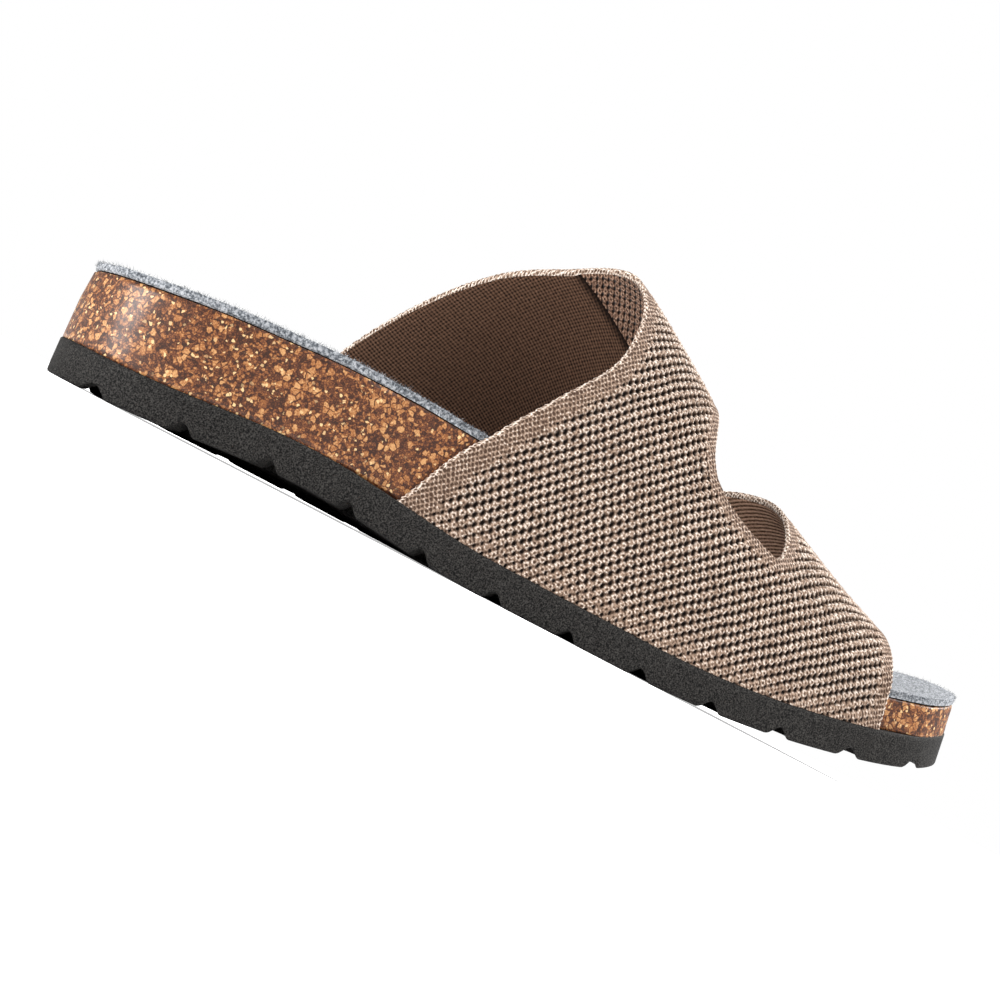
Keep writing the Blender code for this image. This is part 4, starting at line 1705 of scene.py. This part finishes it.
    def from_cut(self, x: np.ndarray, up: np.ndarray) -> np.ndarray:
        """Distance from the cut-out's outline, to the nearest of many points along both its edges.

        Args:
            x: Stations.
            up: Lengths along the wall from its inner foot.

        Returns:
            The distances in millimetres, on the unrolled wall.
        """
        rows = np.arange(len(CUT), dtype=float)
        places = np.linspace(0.0, rows[-1], self.outline_points)
        girth = np.interp(places, rows, column(CUT, "girth"))
        nearest = np.full(x.shape, np.inf)
        for name in ("back", "front"):
            edge = self.cut_edge(name, girth)
            for station, height in zip(edge, self.length_up(edge, girth)):
                nearest = np.minimum(nearest, np.hypot(x - station, up - height))
        return nearest

    def openness(
        self, x: np.ndarray, girth: np.ndarray, collar: np.ndarray, toe: np.ndarray
    ) -> np.ndarray:
        """Size of the pores: none on the collar's band and at the edges, small by the sole.

        Args:
            x: Stations.
            girth: Places round the foot, from -1 to 1.
            collar: X of the collar's edge there.
            toe: X of the toe's edge there.

        Returns:
            Shares of the full size, the product of a rise from each edge.
        """
        band = self.band_crown + self.band_side * ease(np.abs(girth), *self.band_turn)
        begin, full = self.band_fade
        from_collar = ease(x - collar, band + begin, band + full)
        from_toe = ease(toe - x, *self.toe_fade)
        up = self.length_up(x, girth)
        from_foot = np.minimum(up, self.length_up(x, np.ones_like(girth)) - up)
        from_sole = self.sole_openness + (1.0 - self.sole_openness) * ease(from_foot, *self.sole_fade)
        return from_collar * from_toe * from_sole * ease(self.from_cut(x, up), *self.cut_fade)

    def build(
        self,
        knit: bpy.types.Material,
        lining: bpy.types.Material,
        knit_back: bpy.types.Material,
        toe_lining: bpy.types.Material,
    ) -> bpy.types.Object:
        """Mesh of the upper.

        Args:
            knit: Material of the outside and the rims.
            lining: Material of the back strap's inside beyond the seam.
            knit_back: Material of the back strap's inside up to the seam.
            toe_lining: Material of the front strap's inside.

        Returns:
            The piece.
        """
        girth, opened = self.girth_rows()
        collar = self.edge("collar", girth)
        toe = self.edge("toe", girth)
        split = self.edge("middle", girth)
        back = split.copy()
        front = split.copy()
        back[opened] = self.cut_edge("back", girth[opened])
        front[opened] = np.maximum(self.cut_edge("front", girth[opened]), back[opened])
        front[opened.start] = back[opened.start]
        front[opened.stop - 1] = back[opened.stop - 1]
        straps = (
            Strap(collar, back, self.back_columns, self.inner_back_columns),
            Strap(toe, front, self.front_columns, self.inner_front_columns),
        )
        beyond_seam = ease(girth, self.seam_girth, self.seam_girth + self.seam_width)
        depth = self.thickness + self.lining * beyond_seam
        seam = int(np.searchsorted(girth, self.seam_girth))
        full = np.ones_like(girth)
        gap = np.clip((front - back)[opened] / self.rim_gap, 0.0, 1.0)
        patches = []
        for strap in straps:
            x = self.stations(strap.edge, split, strap.cut, strap.columns)
            outside, pattern = self.outside(girth, x, collar, toe)
            x = self.stations(strap.edge, split, strap.cut, strap.inner_columns)
            inside, places, stitches = self.inside(girth, x, depth)
            patches.append(Patch(outside, UpperFace.KNIT, pattern))
            if strap.edge is toe:
                # The front strap's ribs run round the foot, and it has no seam
                turned = places[..., [1, 0, 2]] * np.array((1.0, 1.0, 0.0))
                patches.append(Patch(inside, UpperFace.TOE_LINING, turned))
            else:
                patches.append(Patch(inside[:seam + 1], UpperFace.KNIT_BACK, stitches[:seam + 1]))
                patches.append(Patch(inside[seam:], UpperFace.LINING, places[seam:]))
            behind = outside[:, self.rim_reach]
            rim = self.rim(outside[:, 0], inside[:, 0], behind, pattern[:, 0], full)
            patches.append(rim)
            for foot in (0, -1):
                patches.append(self.foot_strip(outside[foot], inside[foot]))
                patches.append(self.rim_end(rim.points[foot]))
            behind = outside[opened, -1 - self.rim_reach]
            edges = outside[opened, -1], inside[opened, -1]
            patches.append(self.rim(*edges, behind, pattern[opened, -1], gap))
        piece = make_piece("knit_upper", patches, [knit, lining, knit_back, toe_lining])
        dress(piece, "upper")
        return piece

    def stations(self, edge: np.ndarray, split: np.ndarray, cut: np.ndarray, columns: int) -> np.ndarray:
        """X of a strap's columns, which crowd toward the cut-out where it eats into the strap.

        Args:
            edge: X of the strap's outer edge at each row.
            split: X of the line where the two straps part, as if there were no cut-out.
            cut: X of the strap's edge at the cut-out, or of that line.
            columns: Number of steps across the strap.

        Returns:
            Row by column: even steps to the line, plus the cut-out's depth times a power of the share.
        """
        share = np.linspace(0.0, 1.0, columns + 1)[None, :]
        even = edge[:, None] + (split - edge)[:, None] * share
        return even + (cut - split)[:, None] * share ** self.crowd_power

    def outside(
        self, girth: np.ndarray, x: np.ndarray, collar: np.ndarray, toe: np.ndarray
    ) -> tuple[np.ndarray, np.ndarray]:
        """Outer face of one strap, raised by the knit's relief.

        Args:
            girth: Places round the foot, one for each row.
            x: Stations, row by column.
            collar: X of the collar's edge at each row.
            toe: X of the toe's edge at each row.

        Returns:
            The points, and their places in the knit.
        """
        rows = np.broadcast_to(girth[:, None], x.shape)
        none = np.zeros_like(x)
        openness = self.openness(x, rows, collar[:, None], toe[:, None])
        pattern = self.gauge.place(x, self.length_up(x, rows), openness)
        height = self.gauge.relief(pattern)
        points = self.surface(x, rows, none) + self.normals(x, rows) * height[..., None]
        return points, pattern

    def inside(
        self, girth: np.ndarray, x: np.ndarray, depth: np.ndarray
    ) -> tuple[np.ndarray, np.ndarray, np.ndarray]:
        """Inner face of one strap, a step deeper beyond the seam.

        Args:
            girth: Places round the foot, one for each row.
            x: Stations, row by column.
            depth: Thickness of the wall at each row.

        Returns:
            The points, their places in the lining, in millimetres with the share of painted shade by the
            seam, and their places in the knit's back.
        """
        rows = np.broadcast_to(girth[:, None], x.shape)
        points = self.surface(x, rows, np.broadcast_to(depth[:, None], x.shape))
        up = self.length_up(x, rows)
        # Painted shade beside the seam's step: full at the seam, gone a shadow's width beyond it
        seam_shade = 1.0 - ease(rows, self.seam_girth, self.seam_girth + self.seam_shadow)
        places = np.stack((x, up, seam_shade), axis=-1)
        return points, places, self.gauge.place(x, up, np.full_like(x, self.back_openness))

    def foot_strip(self, outside: np.ndarray, inside: np.ndarray) -> Patch:
        """Fan that closes a foot between an outer edge and an inner edge with fewer points."""
        pick = np.round(np.linspace(0.0, len(inside) - 1.0, len(outside))).astype(int)
        return Patch(np.stack((outside, inside[pick])))

    def rim_end(self, ring: np.ndarray) -> Patch:
        """Fan that closes a rim at a foot, from its outer edge to each point of its half ellipse."""
        return Patch(np.stack((ring, np.broadcast_to(ring[0], ring.shape))))

    def rim(
        self,
        outer: np.ndarray,
        inner: np.ndarray,
        behind: np.ndarray,
        pattern: np.ndarray,
        share: np.ndarray,
    ) -> Patch:
        """Rounded rim from the outer to the inner edge, a half ellipse that bulges off the strap.

        Args:
            outer: Edge of the outer face.
            inner: Edge of the inner face.
            behind: Points of the outer face a little inside the edge.
            pattern: Places of the outer edge in the knit.
            share: Size of the bulge at each row, from 0 to 1.

        Returns:
            The rim's patch, whose bulge swells and shrinks along the edge as a cosine.
        """
        away = outer - behind
        away /= np.maximum(np.linalg.norm(away, axis=-1, keepdims=True), SMALLEST_LENGTH)
        middle = 0.5 * (outer + inner)
        half = 0.5 * (outer - inner)
        turn = np.linspace(0.0, np.pi, self.rim_steps + 1)[None, :, None]
        run = np.concatenate(([0.0], np.cumsum(np.linalg.norm(np.diff(middle, axis=0), axis=1))))
        beads = 1.0 + self.bead_share * np.cos(2.0 * np.pi * run / self.bead_pitch)
        bulge = (self.rim_bulge * beads * share)[:, None, None]
        points = middle[:, None] + half[:, None] * np.cos(turn) + away[:, None] * bulge * np.sin(turn)
        points[:, 0] = outer
        points[:, -1] = inner
        places = np.repeat(pattern[:, None], self.rim_steps + 1, axis=1)
        places[..., 2] = RIM_MARK
        places[..., 0] += np.linspace(0.0, 1.0, self.rim_steps + 1)[None, :]
        return Patch(points, UpperFace.KNIT, places)


class Lamp(NamedTuple):
    """A square lamp that is aimed at the shoe: its place and side in metres, its power in watts."""

    name: str
    place: tuple[float, float, float]
    side: float
    power: float


LAMPS = (
    Lamp("key", (0.52, -0.52, 0.92), 0.50, 9.6),
    Lamp("heel", (-0.93, -0.30, 0.16), 0.34, 10.5),
    Lamp("rim", (0.80, 0.05, 0.78), 0.50, 16.0),
    Lamp("top", (-0.25, 0.05, 1.00), 0.60, 6.0),
)


@dataclass
class Studio:
    """Pale floor, soft light and the camera at the photograph's angle."""

    azimuth: float = -18.675
    elevation: float = -3.533
    roll: float = 27.565
    place: tuple[float, float, float] = (-0.134351, -0.354782, 0.002953)
    lens: float = 48.33
    sensor: float = 36.0
    clip_start: float = 0.0005
    floor_size: float = 2.4
    paper: str = "#FBFBFB"
    paper_roughness: float = 0.9
    sky: str = "#FFFFFF"
    floor_glow: float = 0.55
    surround: float = 0.40
    backdrop: float = 1.0
    aim: tuple[float, float, float] = (0.0, 0.0, 0.04)

    def camera(self) -> None:
        """Camera that looks along the azimuth and elevation, rolled about its own axis."""
        azimuth, elevation, roll = np.radians((self.azimuth, self.elevation, self.roll))
        level = math.cos(elevation)
        back = Vector((math.sin(azimuth) * level, -math.cos(azimuth) * level, math.sin(elevation)))
        right = Vector((math.cos(azimuth), math.sin(azimuth), 0.0))
        up = back.cross(right)
        across = math.cos(roll) * right + math.sin(roll) * up
        above = -math.sin(roll) * right + math.cos(roll) * up
        turned = Matrix((across, above, back)).transposed().to_4x4()
        data = bpy.data.cameras.new("camera")
        data.lens = self.lens
        data.sensor_width = self.sensor
        data.clip_start = self.clip_start
        camera = bpy.data.objects.new("camera", data)
        camera.matrix_world = Matrix.Translation(self.place) @ turned
        bpy.context.scene.collection.objects.link(camera)
        bpy.context.scene.camera = camera

    def floor(self) -> None:
        """Flat floor of matt white paper under the sole, one square face that looks even."""
        corners = np.array(((-1.0, -1.0, 0.0), (1.0, -1.0, 0.0), (1.0, 1.0, 0.0), (-1.0, 1.0, 0.0)))
        mesh = bpy.data.meshes.new("floor")
        mesh.from_pydata((0.5 * self.floor_size * corners).tolist(), [], [(0, 1, 2, 3)])
        material, nodes = blank_material("matt_white_paper")
        seen = nodes.add("LightPath")["Is Camera Ray"]
        inputs = {
            "Base Color": linear(self.paper),
            "Roughness": self.paper_roughness,
            "Emission Color": linear(self.paper),
            "Emission Strength": nodes.add("Math", (seen, self.floor_glow), operation="MULTIPLY")[0],
        }
        nodes.add("OutputMaterial", (nodes.add("BsdfPrincipled", inputs)[0],))
        link_mesh("floor", mesh, [material])

    def lights(self) -> None:
        """White surroundings, brighter where the camera sees them, and large soft lamps."""
        world = bpy.data.worlds.new("white_surround")
        world.use_nodes = True
        nodes = NodeTree(world.node_tree)
        seen = nodes.add("LightPath")["Is Camera Ray"]
        strength = {"Value": seen, "To Min": self.surround, "To Max": self.backdrop}
        level = nodes.add("MapRange", strength)[0]
        sky = nodes.add("Background", {"Color": linear(self.sky), "Strength": level})
        nodes.add("OutputWorld", (sky[0],))
        bpy.context.scene.world = world
        bpy.context.scene.view_settings.view_transform = "Standard"
        for lamp in LAMPS:
            data = bpy.data.lights.new(lamp.name, "AREA")
            data.size = lamp.side
            data.energy = lamp.power
            item = bpy.data.objects.new(lamp.name, data)
            item.location = lamp.place
            toward = Vector(self.aim) - Vector(lamp.place)
            item.rotation_euler = toward.to_track_quat("-Z", "Y").to_euler()
            bpy.context.scene.collection.objects.link(item)

    def build(self) -> None:
        """Set the whole studio."""
        self.camera()
        self.floor()
        self.lights()


def main() -> None:
    """Load the frame, set the studio and build each piece on it."""
    logging.basicConfig(level=logging.INFO)
    for item in list(bpy.data.objects):
        bpy.data.objects.remove(item, do_unlink=True)
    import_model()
    Studio().build()
    form = SoleForm()
    gauge = KnitGauge()
    felt = FeltFinish().make()
    FoamOutsole(form).build(FoamFinish().make())
    CorkFootbed(form).build(CorkFinish().make())
    FeltInsole(form).build(felt, GapShadeFinish().make())
    FeltFibres(form).build(felt)
    # Back of the open knit: the same yarn, seen warm and dim in the shade of the opening
    knit_back = KnitFinish(
        gauge, "knit_back", loop="#CBA78E", yarn="#816250", shade="#3E2B21", pore="#0C0604"
    )
    # Ribbed cotton lining of the front strap: pale ribs with little relief across them
    toe_lining = LiningFinish("ribbed_toe_lining", light="#B8937C", dark="#3E2B1C", rib=1.35, cross=0.2)
    upper = KnitUpper(form, gauge)
    upper.build(KnitFinish(gauge).make(), LiningFinish().make(), knit_back.make(), toe_lining.make())


if __name__ == "__main__":
    main()
